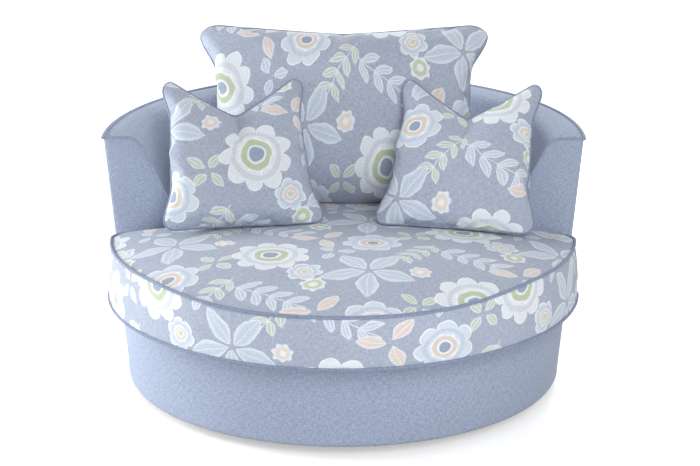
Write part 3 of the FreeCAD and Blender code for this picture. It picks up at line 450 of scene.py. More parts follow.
def print_flower(tree, colour, cloth, centre, size, petals, inks):
    """Rounded petals with dark strokes, a ring of a second colour and a small eye."""
    petal_ink, ring_ink, eye_ink = inks
    reach, angle = polar(tree, motif_place(tree, cloth, centre, 0.3))
    lobes = add(tree, "ShaderNodeMath", {0: angle, 1: petals / 2}, operation="MULTIPLY")
    lobes = add(tree, "ShaderNodeMath", {0: lobes}, operation="COSINE")
    lobes = add(tree, "ShaderNodeMath", {0: lobes}, operation="ABSOLUTE")
    lobes = add(tree, "ShaderNodeMath", {0: lobes, 1: 0.55}, operation="POWER")
    edge = add(tree, "ShaderNodeMapRange", {"Value": lobes, "To Min": size * 0.72, "To Max": size})
    vein = add(tree, "ShaderNodeMath", {0: edge, 1: 0.0035}, operation="SUBTRACT")
    colour = paint(tree, colour, inside(tree, reach, edge), PETAL_WHITE, 0.95)
    colour = paint(tree, colour, inside(tree, reach, vein), petal_ink, 0.85)
    strokes = ticks(tree, angle, 2 * math.pi / (petals * 9), 0.2)
    strokes = both(tree, strokes, inside(tree, reach, size * 0.70))
    strokes = both(tree, strokes, inside(tree, size * 0.57, reach))
    colour = paint(tree, colour, strokes, STROKE_BLUE, 0.55)
    collar = add(tree, "ShaderNodeMapRange", {"Value": lobes, "To Min": size * 0.54, "To Max": size * 0.47})
    colour = paint(tree, colour, inside(tree, reach, collar), PETAL_WHITE, 0.9)
    colour = paint(tree, colour, inside(tree, reach, size * 0.44), ring_ink, 0.9)
    spokes = ticks(tree, angle, 2 * math.pi / (petals * 5), 0.45)
    spokes = both(tree, spokes, inside(tree, reach, size * 0.40))
    colour = paint(tree, colour, spokes, SPOKE_GREEN, 0.5)
    colour = paint(tree, colour, inside(tree, reach, size * 0.27), EYE_WHITE, 0.95)
    return paint(tree, colour, inside(tree, reach, size * 0.20), eye_ink, 0.9)


# %% Leaves: a star of them, and a sprig of pairs


def print_leaf(tree, colour, along, side, length, width, inks):
    """A pointed leaf with an outline, a midrib and slanting strokes on it."""
    share = add(tree, "ShaderNodeMath", {0: along, 1: length}, operation="DIVIDE")
    share = add(tree, "ShaderNodeClamp", {0: share})
    bow = add(tree, "ShaderNodeMath", {0: share, 1: math.pi}, operation="MULTIPLY")
    bow = add(tree, "ShaderNodeMath", {0: bow}, operation="SINE")
    bow = add(tree, "ShaderNodeMath", {0: bow, 1: 0.8}, operation="POWER")
    half = add(tree, "ShaderNodeMath", {0: bow, 1: width / 2, 2: -0.0006}, operation="MULTIPLY_ADD")
    spread = add(tree, "ShaderNodeMath", {0: side}, operation="ABSOLUTE")
    inner = add(tree, "ShaderNodeMath", {0: half, 1: 0.0026}, operation="SUBTRACT")
    slant = add(tree, "ShaderNodeMath", {0: spread, 1: -0.9, 2: along}, operation="MULTIPLY_ADD")
    heart = add(tree, "ShaderNodeMath", {0: half, 1: 0.62}, operation="MULTIPLY")
    colour = paint(tree, colour, inside(tree, spread, half), LEAF_WHITE, 0.9)
    colour = paint(tree, colour, inside(tree, spread, inner), inks[0], 0.75)
    colour = paint(tree, colour, both(tree, ticks(tree, slant, 0.0052, 0.3), inside(tree, spread, heart)),
                   inks[1], 0.6)
    rib = inside(tree, spread, 0.0011, 0.0006)
    return paint(tree, colour, both(tree, rib, inside(tree, spread, inner)), LEAF_WHITE, 0.8)


def print_leaf_star(tree, colour, cloth, centre, turn, leaves, length, width, inks):
    """Leaves that fan out evenly from one point."""
    reach, angle = polar(tree, motif_place(tree, cloth, centre, turn))
    sector = 2 * math.pi / leaves
    near = add(tree, "ShaderNodeMath", {0: angle, 1: sector}, operation="DIVIDE")
    near = add(tree, "ShaderNodeMath", {0: near}, operation="ROUND")
    off = add(tree, "ShaderNodeMath", {0: near, 1: -sector, 2: angle}, operation="MULTIPLY_ADD")
    cosine = add(tree, "ShaderNodeMath", {0: off}, operation="COSINE")
    sine = add(tree, "ShaderNodeMath", {0: off}, operation="SINE")
    along = both(tree, reach, cosine)
    along = add(tree, "ShaderNodeMath", {0: along, 1: 0.008}, operation="SUBTRACT")
    return print_leaf(tree, colour, along, both(tree, reach, sine), length, width, inks)


def print_sprig(tree, colour, cloth, centre, turn, pairs, pitch, length, width, inks):
    """Pairs of slim leaves along a stem: the far side is the near side mirrored."""
    local = motif_place(tree, cloth, centre, turn)
    parts = add(tree, "ShaderNodeSeparateXYZ", {0: local})
    side = add(tree, "ShaderNodeMath", {0: parts.node.outputs["Y"]}, operation="ABSOLUTE")
    reach = pitch * pairs / 2
    held = add(tree, "ShaderNodeClamp", {0: parts, "Min": pitch / 2 - reach, "Max": reach - pitch / 2})
    node_at = add(tree, "ShaderNodeMath", {0: held, 1: pitch}, operation="SNAP")
    step = add(tree, "ShaderNodeMath", {0: parts, 1: node_at}, operation="SUBTRACT")
    leaf = add(tree, "ShaderNodeCombineXYZ", {0: step, 1: side})
    leaf = add(tree, "ShaderNodeMapping", {"Vector": leaf, "Rotation": (0, 0, -0.75)})
    leaf_parts = add(tree, "ShaderNodeSeparateXYZ", {0: leaf})
    length_on = add(tree, "ShaderNodeMath", {0: parts}, operation="ABSOLUTE")
    stem = both(tree, inside(tree, side, 0.0013), inside(tree, length_on, reach + 0.012))
    colour = paint(tree, colour, stem, LEAF_WHITE, 0.9)
    return print_leaf(tree, colour, leaf_parts, leaf_parts.node.outputs["Y"], length, width, inks)


def print_ring_flower(tree, colour, cloth, centre, size, ink):
    """A small round flower: a scalloped ring and a dot."""
    reach, angle = polar(tree, motif_place(tree, cloth, centre, 0))
    wave = add(tree, "ShaderNodeMath", {0: angle, 1: 7}, operation="MULTIPLY")
    wave = add(tree, "ShaderNodeMath", {0: wave}, operation="SINE")
    edge = add(tree, "ShaderNodeMath", {0: wave, 1: size * 0.10, 2: size}, operation="MULTIPLY_ADD")
    colour = paint(tree, colour, inside(tree, reach, edge), LEAF_WHITE, 0.9)
    colour = paint(tree, colour, inside(tree, reach, size * 0.74), ink, 0.85)
    return paint(tree, colour, inside(tree, reach, size * 0.34), EYE_WHITE, 0.9)


# %% Printed linen


def printed_linen():
    """Grey-blue cloth with the whole print on it, its edges a little unsteady, as hand-drawn ones are."""
    material, tree, shader = start_material("printed_linen")
    cloth = add(tree, "ShaderNodeUVMap", uv_map="cloth")
    shake = add(tree, "ShaderNodeTexNoise", {"Vector": cloth, "Scale": 26.0, "Detail": 1.0}, out="Color")
    shake = add(tree, "ShaderNodeVectorMath", {0: shake, 1: (0.5, 0.5, 0.5)}, operation="SUBTRACT")
    shake = add(tree, "ShaderNodeVectorMath", {0: shake, "Scale": 0.014}, operation="SCALE")
    drawn = add(tree, "ShaderNodeVectorMath", {0: cloth, 1: shake}, operation="ADD")
    height, slub = weave(tree, cloth)
    share = add(tree, "ShaderNodeMapRange", {"Value": slub, "From Min": 0.75, "From Max": 1.25})
    colour = add(tree, "ShaderNodeMix", {0: share, 6: linear("#9FA8BA"), 7: linear("#B0B9CB")},
                 out=2, data_type="RGBA")
    green = (PALE_GREEN, LEAF_GREEN)
    blue = (PALE_BLUE, DEEP_BLUE)
    peach = (PALE_PEACH, DEEP_PEACH)
    colour = print_sprig(tree, colour, drawn, (0.01, 0.195), 0.55, 4, 0.042, 0.056, 0.024, blue)
    colour = print_sprig(tree, colour, drawn, (0.335, 0.015), 2.2, 4, 0.036, 0.048, 0.021, green)
    colour = print_leaf_star(tree, colour, drawn, (0.335, 0.165), 0.8, 4, 0.046, 0.026, green)
    colour = print_leaf_star(tree, colour, drawn, (0.145, 0.018), 2.0, 3, 0.044, 0.026, blue)
    colour = print_leaf_star(tree, colour, drawn, (0.225, -0.105), 0.35, 5, 0.104, 0.050, blue)
    colour = print_leaf_star(tree, colour, drawn, (0.112, 0.128), 1.2, 3, 0.070, 0.036, peach)
    colour = print_ring_flower(tree, colour, drawn, (0.105, -0.165), 0.028, RING_GREEN)
    colour = print_ring_flower(tree, colour, drawn, (-0.118, 0.098), 0.024, PALE_PEACH)
    colour = print_flower(tree, colour, drawn, (0.082, 0.298), 0.042, 6, (PALE_BLUE, PALE_PEACH, PALE_GREEN))
    colour = print_flower(tree, colour, drawn, (0.235, 0.100), 0.072, 7, (PALE_BLUE, PALE_PEACH, DEEP_BLUE))
    colour = print_flower(tree, colour, drawn, (0.0, 0.0), 0.092, 9, (PALEST_BLUE, RING_GREEN, DEEP_BLUE))
    finish_cloth(tree, shader, cloth, colour, height, slub)
    return material


printed_cloth = printed_linen()
print("print nodes:", len(printed_cloth.node_tree.nodes))

# %% [markdown]
# ## What is inside
#
# The frame, springs and bearing stay as the CAD made them. They only need their finish: birch ply with its
# grain, zinc on the steel, black spun cloth below, pale foam and a dark moulded plastic.

# %% Finishes of the hidden parts


def birch_plywood():
    """Pale wood, its grain a noise stretched 30 to 1 along the board."""
    material, tree, shader = start_material("birch_plywood")
    place = add(tree, "ShaderNodeTexCoord", out="Object")
    grain = add(tree, "ShaderNodeMapping", {"Vector": place, "Scale": (4, 120, 120)})
    grain = add(tree, "ShaderNodeTexNoise", {"Vector": grain, "Scale": 1.0, "Detail": 5.0})
    colour = add(tree, "ShaderNodeMix", {0: grain, 6: linear("#C9A878"), 7: linear("#E2C79B")},
                 out=2, data_type="RGBA")
    bump = add(tree, "ShaderNodeBump", {"Height": grain, "Strength": 0.2, "Distance": 0.0004})
    tree.links.new(colour, shader.inputs["Base Color"])
    tree.links.new(bump, shader.inputs["Normal"])
    shader.inputs["Roughness"].default_value = 0.6
    return material


def zinc_plated_steel():
    """Bright steel with the faint cloudiness of a zinc bath."""
    material, tree, shader = start_material("zinc_plated_steel")
    place = add(tree, "ShaderNodeTexCoord", out="Object")
    cloud = add(tree, "ShaderNodeTexNoise", {"Vector": place, "Scale": 90.0, "Detail": 3.0})
    rough = add(tree, "ShaderNodeMapRange", {"Value": cloud, "To Min": 0.28, "To Max": 0.42})
    colour = add(tree, "ShaderNodeMix", {0: cloud, 6: linear("#B4B6B8"), 7: linear("#CDCFD1")},
                 out=2, data_type="RGBA")
    tree.links.new(colour, shader.inputs["Base Color"])
    tree.links.new(rough, shader.inputs["Roughness"])
    shader.inputs["Metallic"].default_value = 1.0
    return material


def fibre_surface(name, dark, light, grain_mm, roughness):
    """Spun or foamed stuff: a fine mottle of two colours with as fine a bump."""
    material, tree, shader = start_material(name)
    place = add(tree, "ShaderNodeTexCoord", out="Object")
    grain = add(tree, "ShaderNodeTexNoise", {"Vector": place, "Scale": 1000 / grain_mm, "Detail": 2.0})
    colour = add(tree, "ShaderNodeMix", {0: grain, 6: linear(dark), 7: linear(light)},
                 out=2, data_type="RGBA")
    bump = add(tree, "ShaderNodeBump", {"Height": grain, "Strength": 0.3, "Distance": 0.0005})
    tree.links.new(colour, shader.inputs["Base Color"])
    tree.links.new(bump, shader.inputs["Normal"])
    shader.inputs["Roughness"].default_value = roughness
    return material


# %% Give each CAD node the finish of its slot
slot_finish = {
    "plain_fabric": plain_cloth,
    "printed_fabric": printed_cloth,
    "black_cloth": fibre_surface("black_spun_cloth", "#17181A", "#26282B", 2.0, 0.95),
    "foam": fibre_surface("foam_and_fibre", "#D9D2BE", "#EEE8D6", 3.0, 0.95),
    "plywood": birch_plywood(),
    "steel": zinc_plated_steel(),
    "plastic": fibre_surface("moulded_black_plastic", "#1B1C1E", "#222326", 1.0, 0.45),
}
for part in frame["record"]["subparts"]:
    mesh = frame["nodes"][part["node"]].data
    mesh.materials.clear()
    mesh.materials.append(slot_finish[part["material_slot"]])


def dress(piece, body, slot, *nodes, finish=None):
    """Gives a finished piece its cloth, its body and the CAD nodes that it stands for."""
    piece.data.materials.clear()
    piece.data.materials.append(finish or slot_finish[slot])
    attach(piece, body)
    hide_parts(*nodes)
    print(piece.name, len(piece.data.polygons), "faces")

# %% [markdown]
# ## Floor and light
#
# A shop photograph like this has a white sweep, a large soft window at the left, a paler fill in front and
# a lamp above and behind that lights the seat. The background is white because the world and the floor show
# white to the camera, not because more light falls on the chair. The floor still takes the soft shadow at
# the drum's foot, and grows whiter away from it.

# %% Floor
NEAR_R = 0.62
FAR_R = 1.5
NEAR_GLOW = 0.40
FAR_GLOW = 0.9
FLOOR_SIDE = 30


def white_sweep():
    """Matt paper that the camera sees a little brighter, so that it ends as white where nothing shades it."""
    material, tree, shader = start_material("white_paper_sweep")
    shader.inputs["Base Color"].default_value = linear("#F4F4F4")
    shader.inputs["Roughness"].default_value = 0.9
    rays = add(tree, "ShaderNodeLightPath")
    seen = add(tree, "ShaderNodeMath", {0: rays, 1: rays.node.outputs["Is Glossy Ray"]}, operation="MAXIMUM")
    seen = add(tree, "ShaderNodeMath", {0: seen, 1: rays.node.outputs["Is Transmission Ray"]},
               operation="MAXIMUM")
    place = add(tree, "ShaderNodeTexCoord", out="Object")
    far = add(tree, "ShaderNodeVectorMath", {0: place}, out="Value", operation="LENGTH")
    lift = add(tree, "ShaderNodeMapRange", {"Value": far, "From Min": NEAR_R, "From Max": FAR_R,
                                            "To Min": NEAR_GLOW, "To Max": FAR_GLOW},
               interpolation_type="SMOOTHSTEP")
    glow = add(tree, "ShaderNodeMath", {0: seen, 1: lift}, operation="MULTIPLY")
    tree.links.new(glow, shader.inputs["Emission Strength"])
    shader.inputs["Emission Color"].default_value = (1, 1, 1, 1)
    return material


deselect()
bpy.ops.mesh.primitive_plane_add(size=1)
floor = bpy.context.active_object
floor.name = "floor"
for corner in floor.data.vertices:
    corner.co = (corner.co.x * FLOOR_SIDE, corner.co.y * FLOOR_SIDE, 0)
floor.data.materials.append(white_sweep())

# %% World and lamps
WORLD_LIGHT = 0.38
world = bpy.data.worlds.new("studio")
bpy.context.scene.world = world
world.use_nodes = True
sky = world.node_tree
rays = add(sky, "ShaderNodeLightPath")
seen = add(sky, "ShaderNodeMath", {0: rays, 1: rays.node.outputs["Is Glossy Ray"]}, operation="MAXIMUM")
seen = add(sky, "ShaderNodeMath", {0: seen, 1: rays.node.outputs["Is Transmission Ray"]}, operation="MAXIMUM")
level = add(sky, "ShaderNodeMapRange", {"Value": seen, "To Min": WORLD_LIGHT, "To Max": 1.0})
sky.links.new(level, sky.nodes["Background"].inputs["Strength"])
sky.nodes["Background"].inputs["Color"].default_value = (1, 1, 1, 1)


def soft_lamp(name, place, target, size, power):
    """A square area lamp that faces a point."""
    lamp = bpy.data.objects.new(name, bpy.data.lights.new(name, "AREA"))
    lamp.data.size = size
    lamp.data.energy = power
    lamp.location = place
    lamp.rotation_euler = (Vector(target) - Vector(place)).to_track_quat("-Z", "Y").to_euler()
    bpy.context.scene.collection.objects.link(lamp)


soft_lamp("window", (-3.0, 0.2, 0.9), (-0.3, 0.0, 0.35), 1.6, 104)
soft_lamp("fill", (0.9, -3.3, 2.0), (0.0, 0.0, 0.45), 1.8, 74)
soft_lamp("overhead", (0.8, 2.2, 2.4), (0.1, 0.0, 0.5), 2.2, 64)

# %% [markdown]
# ## Outside of the drum and tub
#
# Behind the arm fronts one long cover runs round the chair's back, from a hem under the drum up to the
# piping on the rim. In front, a lower band closes the drum below the seat cushion. Both are cloth pulled
# tight over a thin panel, so they keep the flare of the wall, with only a very slight waviness. A spun
# profile would give the flare, but not the rim that climbs to the back, so each is a grid whose rows follow
# the wall.

# %% Tight cloth has a slight waviness
SEAM_TUCK = 0.0012


def waviness(point, size, depth):
    """A smooth swelling of the cloth, up to depth, with waves of about a given size."""
    return depth * noise.noise(Vector(point) / size, noise_basis="PERLIN_ORIGINAL")


def wall_waves(angle, height, size, depth):
    """Waviness of a cover that runs round the chair."""
    return waviness((math.cos(angle) * 2, math.sin(angle) * 2, height), size, depth)


def seam_tuck(s):
    """How far a cover is pulled in beside the seams at its two ends."""
    return SEAM_TUCK * (math.exp(-s * 300) + math.exp(-(1 - s) * 300))


def eased(share):
    """From 0 to 1 with a soft start and a soft end, and held there outside."""
    share = max(0.0, min(1.0, share))
    return share * share * (3 - 2 * share)


def raised(x, y, z):
    """A point of the tub wall, lifted with the rim as it climbs to the back."""
    return Vector((x, y, z + RIM_CLIMB * (y - SEAM_Y)))


# %% Outer back cover
HEM = 0.016
WALL_ROWS = 71
BACK_ARC = math.pi * 0.6
wall_path, wall_length = even_points([(FOOT_R - HEM, 0, 0.0), (FOOT_R - 0.002, 0, 0.0), (FOOT_R, 0, 0.0025),
                                      (RIM_R, 0, ARM_TOP - FOOT_Z)], WALL_ROWS + 1)


def outer_back_point(s, t):
    """Round the back by s, from the hem to the rim by t. The foot stays level and the rim climbs."""
    row = wall_path[round(t * WALL_ROWS)]
    share = row.z / (ARM_TOP - FOOT_Z)
    start = math.asin(SEAM_Y / row.x)
    angle = start + s * (math.pi - 2 * start)
    swell = wall_waves(angle, row.z * 2, 0.5, 0.0016) * share * (1 - share) * 4
    r = row.x + swell - seam_tuck(s)
    x, y = r * math.cos(angle), r * math.sin(angle)
    return Vector((x, y, FOOT_Z + row.z + share * RIM_CLIMB * (y - SEAM_Y)))


outer_back = spread_cloth("outer_back", 220, WALL_ROWS, outer_back_point,
                          lambda s, t, middle: (s * BACK_ARC * 2 * FOOT_R, t * wall_length))
thicken(close_and_smooth(outer_back))
print("outer back:", round(wall_length, 3), "m from hem to rim")

# %% Front band
BAND_TOP = 0.2488
BAND_IN_R = 0.505
BAND_ROWS = 47
band_line = [(FOOT_R - HEM, 0, FOOT_Z), (FOOT_R - 0.002, 0, FOOT_Z), (FOOT_R, 0, FOOT_Z + 0.0025),
             (wall_r(BAND_TOP) - 0.001, 0, BAND_TOP - 0.003), (wall_r(BAND_TOP) - 0.005, 0, BAND_TOP),
             (BAND_IN_R, 0, BAND_TOP)]
band_path, band_length = even_points(band_line, BAND_ROWS + 1)


def front_band_point(s, t):
    """Round the front from the right seam to the left one, from the hem up and in over the deck's edge."""
    row = band_path[round(t * BAND_ROWS)]
    start = math.asin(SEAM_Y / row.x)
    angle = start - s * (math.pi + 2 * start)
    swell = wall_waves(angle, row.z * 2, 0.45, 0.0012)
    r = row.x + (swell if FOOT_Z + 0.01 < row.z < BAND_TOP - 0.01 else 0) - seam_tuck(s)
    return Vector((r * math.cos(angle), r * math.sin(angle), row.z))


front_band = spread_cloth("front_band", 200, BAND_ROWS, front_band_point,
                          lambda s, t, middle: (s * math.pi * FOOT_R, t * band_length))
thicken(close_and_smooth(front_band))
print("front band:", round(band_length, 3), "m from hem to the pad")

# %% [markdown]
# ## Platform under the seat cushion
#
# The springs carry a round pad in a cloth cover, which shows only when the seat cushion is lifted off. It
# is flat, because the cushion rests on it, with a shallow dish where it is sat on and a stitched seam near
# its edge.

# %% Platform pad
PAD_R = 0.5045
PAD_LOW = 0.2272
PAD_TOP = 0.2487
PAD_DISH = 0.003
PAD_ROWS = 120
STITCH_R = 0.455
STITCH_DEPTH = 0.0022
pad_line = [(0, 0, PAD_TOP), (PAD_R - 0.008, 0, PAD_TOP), (PAD_R - 0.002, 0, PAD_TOP - 0.003),
            (PAD_R, 0, PAD_TOP - 0.010), (PAD_R, 0, PAD_LOW), (0, 0, PAD_LOW)]
pad_path = even_points(pad_line, PAD_ROWS + 1)[0]


def platform_point(s, t):
    """Round the pad by s, from the middle of its top over its edge to the middle of its underside by t."""
    row = pad_path[round(t * PAD_ROWS)]
    angle = 2 * math.pi * s
    x, y = row.x * math.cos(angle), row.x * math.sin(angle)
    top = 1.0 if row.z > PAD_TOP - 0.001 else 0.0
    dish = PAD_DISH * max(0.0, 1 - (row.x / STITCH_R) ** 2)
    stitch = STITCH_DEPTH * math.exp(-((row.x - STITCH_R) / 0.004) ** 2)
    ripple = 0.0006 + waviness((x, y, 0), 0.09, 0.0006)
    return Vector((x, y, row.z - top * (dish + stitch + ripple)))


def platform_measure(s, t, middle):
    """Flat cloth: the plan itself, wherever on its face the corner is."""
    point = platform_point(s, t)
    return (point.x, point.y)


platform = spread_cloth("platform_pad", 120, PAD_ROWS, platform_point, platform_measure)
close_and_smooth(platform, merge=MERGE_REACH)
print("platform pad:", len(platform.data.vertices), "points")

# %% [markdown]
# ## Inside of the tub
#
# The inner cover is one padded sheet: it stands straight behind the seat cushion, leans out above it, rolls
# over and lies flat on the rim as far as the piping. Its section is a line, an arc and a line, swept round
# the well and lifted with the rim. Two round facings close the arms in front.

# %% Section of the padded wall
ROLL_STEPS = 10
roll = [(ROLL_CENTRE - ROLL_R * math.cos(WALL_LEAN + (math.pi / 2 - WALL_LEAN) * k / ROLL_STEPS), 0,
         ROLL_Z + ROLL_R * math.sin(WALL_LEAN + (math.pi / 2 - WALL_LEAN) * k / ROLL_STEPS))
        for k in range(ROLL_STEPS + 1)]
section = [(WELL_R, 0, SEAT_LOW + 0.001), (WELL_R, 0, KNEE_Z)] + roll + [(RIM_R - 0.003, 0, ARM_TOP)]
INNER_ROWS = 83
inner_path, inner_length = even_points(section, INNER_ROWS + 1)
print("padded wall, along its section:", round(inner_length, 3), "m")

# %% Inner back cover
RIM_CROWN = 0.003


def inner_back_point(s, t):
    """Round the tub by s, from behind the seat up over the roll to the rim by t."""
    row = inner_path[round(t * INNER_ROWS)]
    start = math.asin(SEAM_Y / row.x)
    angle = start + s * (math.pi - 2 * start)
    y = row.x * math.sin(angle)
    swell = wall_waves(angle, row.z * 3, 0.4, 0.0015)
    crown = RIM_CROWN * math.sin(math.pi * min(1, max(0, (row.x - ROLL_CENTRE) / (RIM_R - ROLL_CENTRE))))
    ease = min(1.0, (y - SEAM_Y) / 0.05)
    r = row.x + (swell - 0.0005) * ease
    return raised(r * math.cos(angle), r * math.sin(angle), row.z + crown * ease)


inner_back = spread_cloth("inner_back", 200, INNER_ROWS, inner_back_point,
                          lambda s, t, middle: (s * math.pi * 0.5, t * inner_length))
for face in inner_back.data.polygons:
    face.flip()
wall_tree = surface_tree(inner_back)
thicken(inner_back)

# %% Facings, the fronts of the arms
FACING_EDGE = 0.007
FACING_PLUMP = 0.0045
FACING_FLAT = 0.84
FACING_ROWS = 60
FACING_COLUMNS = 24
inner_edge, edge_length = even_points(section[:-1], FACING_ROWS + 1)


def facing_point(side):
    """A point of the arm front: across from its inner edge to the outside by s, upwards by t."""
    def place(s, t):
        row = inner_edge[round(t * FACING_ROWS)]
        x_in = math.sqrt(row.x ** 2 - ARM_FRONT ** 2)
        x_out = math.sqrt(wall_r(row.z) ** 2 - ARM_FRONT ** 2)
        turn = max(0.0, (s - FACING_FLAT) / (1 - FACING_FLAT)) * math.pi / 2
        flat = min(1.0, s / FACING_FLAT)
        x = x_in + (x_out - FACING_EDGE - x_in) * flat + FACING_EDGE * math.sin(turn)
        y = ARM_FRONT + FACING_EDGE * (1 - math.cos(turn))
        top = min(1.0, (ARM_TOP - row.z) / 0.03)
        plump = math.sin(math.pi * min(1, max(0, flat))) ** 0.7 * top
        swell = waviness((x, 0, row.z), 0.12, 0.001) - FACING_PLUMP
        return Vector((side * x, y + swell * plump, row.z))
    return place


def level_top(piece):
    """Keeps the last row of an arm front level to the outside, where the rim's flat top ends."""
    for point in piece.data.vertices:
        point.co.z = min(point.co.z, ARM_TOP - 0.0008)
    return piece


facings = {}
for word, side in (("left", -1), ("right", 1)):
    piece = spread_cloth("arm_front_" + word, FACING_COLUMNS, FACING_ROWS, facing_point(side),
                         lambda s, t, middle, side=side: (side * (0.4 + s * 0.2), t * edge_length))
    facings[word] = thicken(close_and_smooth(level_top(piece)), flip=True)
print("arm fronts:", ", ".join(piece.name for piece in facings.values()))

# %% [markdown]
# ## Piping on the tub
#
# A cord in bias-cut cloth hides the seam where two covers meet. One runs round the rim. The other follows
# the top and the inner edge of each arm front. Both wear a darker copy of the cloth, painted shade for the
# line that each cord's shadow draws.

# %% Rim piping and arm piping
start = math.asin(ARM_FRONT / RIM_R)
rim_line = [raised(RIM_R * math.cos(a), RIM_R * math.sin(a), ARM_TOP)
            for a in [start + k * (math.pi - 2 * start) / 240 for k in range(241)]]
rim_piping = piping("rim_cord", rim_line, RIM_CORD_R)
arm_piping = {}
for word, side in (("left", -1), ("right", 1)):
    line = [(side * math.sqrt(x ** 2 - ARM_FRONT ** 2), ARM_FRONT, z) for x, _, z in section[:-1]]
    line.append((side * math.sqrt(RIM_R ** 2 - ARM_FRONT ** 2), ARM_FRONT, ARM_TOP))
    arm_piping[word] = piping("arm_cord_" + word, line, ARM_CORD_R, pitch=FINE_PITCH)
print("rim cord runs", round(even_points(rim_line, 2)[1], 2), "m")

# %% Dress the tub
dress(outer_back, "chair", "plain_fabric", "outer_back_cover")
dress(front_band, "chair", "plain_fabric", "front_band_cover", "front_edge_roll")
dress(inner_back, "chair", "plain_fabric", "inner_back_cover")
dress(platform, "chair", "plain_fabric", "deck_pad")
# The tub's cords take the darker copy of the cloth: painted shade.
dress(rim_piping, "chair", "plain_fabric", "rim_piping", finish=tub_piping_shaded_cloth)
for word in ("left", "right"):
    dress(facings[word], "chair", "plain_fabric", "facing_" + word)
    dress(arm_piping[word], "chair", "plain_fabric", "facing_piping_" + word, finish=tub_piping_shaded_cloth)

# %% [markdown]
# ## Seat cushion
#
# The seat is a boxed cushion: a top and a bottom panel joined by a strip, with a piped seam at each edge.
# Its plan is an oval front, two ears that reach out before the arms, and a round back that fits the well.
# The cloth is a net of rings: from the middle of the top out to the upper seam, down the strip and in again
# below. The rings at the seams are pinned and the rest is blown up a little, as foam wrapped in fibre
# pushes the cloth out.

# %% Plan of the seat cushion
TOP_HALF_W = 0.596
TOP_FRONT = 0.686
LOW_HALF_W = 0.610
LOW_FRONT = 0.664
SEAT_OVAL = -0.015
EAR_Y = -0.072
EAR_CORNER = 0.046
SEAT_REAR = 0.401
AROUND = 300


def seat_plan(half, front):
    """The cushion's outline at one height, as evenly spaced points from the middle of the front."""
    def oval(y):
        return half * math.sqrt(max(0.0, 1 - ((y - SEAT_OVAL) / (front + SEAT_OVAL)) ** 2))
    side_y = EAR_Y - EAR_CORNER
    side_x = oval(side_y)
    right = []
    for k in range(60):
        turn = math.pi / 2 * k / 60
        y = SEAT_OVAL - (front + SEAT_OVAL) * math.cos(turn)
        if y > side_y:
            break
        right.append((oval(y), y, 0))
    for k in range(13):
        turn = math.pi / 2 * k / 12
        right.append((side_x - EAR_CORNER * (1 - math.cos(turn)), side_y + EAR_CORNER * math.sin(turn), 0))
    neck = math.sqrt(SEAT_REAR ** 2 - EAR_Y ** 2)
    first = math.atan2(EAR_Y, neck)
    for k in range(41):
        angle = first + (math.pi / 2 - first) * k / 40
        right.append((SEAT_REAR * math.cos(angle), SEAT_REAR * math.sin(angle), 0))
    left = [(-x, y, z) for x, y, z in reversed(right[1:-1])]
    return even_points(right + left, AROUND, closed=True)


top_plan, top_girth = seat_plan(TOP_HALF_W, TOP_FRONT)
low_plan, low_girth = seat_plan(LOW_HALF_W, LOW_FRONT)
print("seat seam:", round(top_girth, 2), "m above,", round(low_girth, 2), "m below")

# %% Net of rings
TOP_RINGS = 26
BOX_RINGS = 12
LOW_RINGS = 8
RINGS = TOP_RINGS + BOX_RINGS + LOW_RINGS
MIDDLE = Vector((0, -0.150, 0))
STRIP = WELT_Z - SEAT_LOW
FRONT_DROOP = 0.019
DROOP_FROM = -0.46


def front_droop(y):
    """How far the upper seam sinks towards the middle of the front, where the seat is sat on most."""
    return FRONT_DROOP * eased((DROOP_FROM - y) / (DROOP_FROM + TOP_FRONT))


def seat_point(s, t):
    """A point of the cushion's cloth: s round the outline, t over the top, down the strip and under."""
    k = round(s * AROUND) % AROUND
    ring = round(t * RINGS)
    if ring <= TOP_RINGS:
        share = ring / TOP_RINGS
        flat = MIDDLE.lerp(top_plan[k], share)
        rise = (CROWN_Z - WELT_Z) * math.sqrt(1 - share ** 2.2)
        return Vector((flat.x, flat.y, WELT_Z + rise))
    if ring <= TOP_RINGS + BOX_RINGS:
        share = (ring - TOP_RINGS) / BOX_RINGS
        flat = top_plan[k].lerp(low_plan[k], share)
        out = (flat - MIDDLE).normalized() * 0.004 * math.sin(math.pi * share)
        return Vector((flat.x + out.x, flat.y + out.y, WELT_Z - STRIP * share))
    share = (RINGS - ring) / LOW_RINGS
    flat = MIDDLE.lerp(low_plan[k], share)
    return Vector((flat.x, flat.y, SEAT_LOW))


def seat_measure(s, t, middle):
    """Flat cloth: the plan itself for the top and bottom, length by height for the strip between."""
    ring = t * RINGS - TOP_RINGS
    if 0 < middle[1] * RINGS - TOP_RINGS < BOX_RINGS:
        return ((s - (middle[0] > 0.5)) * top_girth, 1.0 - STRIP * ring / BOX_RINGS)
    point = seat_point(s, t)
    return (point.x + 2, point.y + 2)


seat = spread_cloth("seat_cushion", AROUND, RINGS, seat_point, seat_measure)
close_and_smooth(seat, merge=MERGE_REACH)
print("seat net:", len(seat.data.vertices), "points")

# %% [markdown]
# ## Blowing a cushion up
#
# Blender's cloth is what makes a cushion look stuffed: the flat panels are sewn at their edge, air pressure
# fills them, and the cloth finds its own crown, drawn-in sides and creases. Gravity is off, because the
# filling carries the cloth. How far a point may move is capped, so that the cushion keeps the size of its
# frame.

# %% Blow up with the cloth simulation
INFLATE_FRAMES = 20
SEARCH_REACH = 0.09


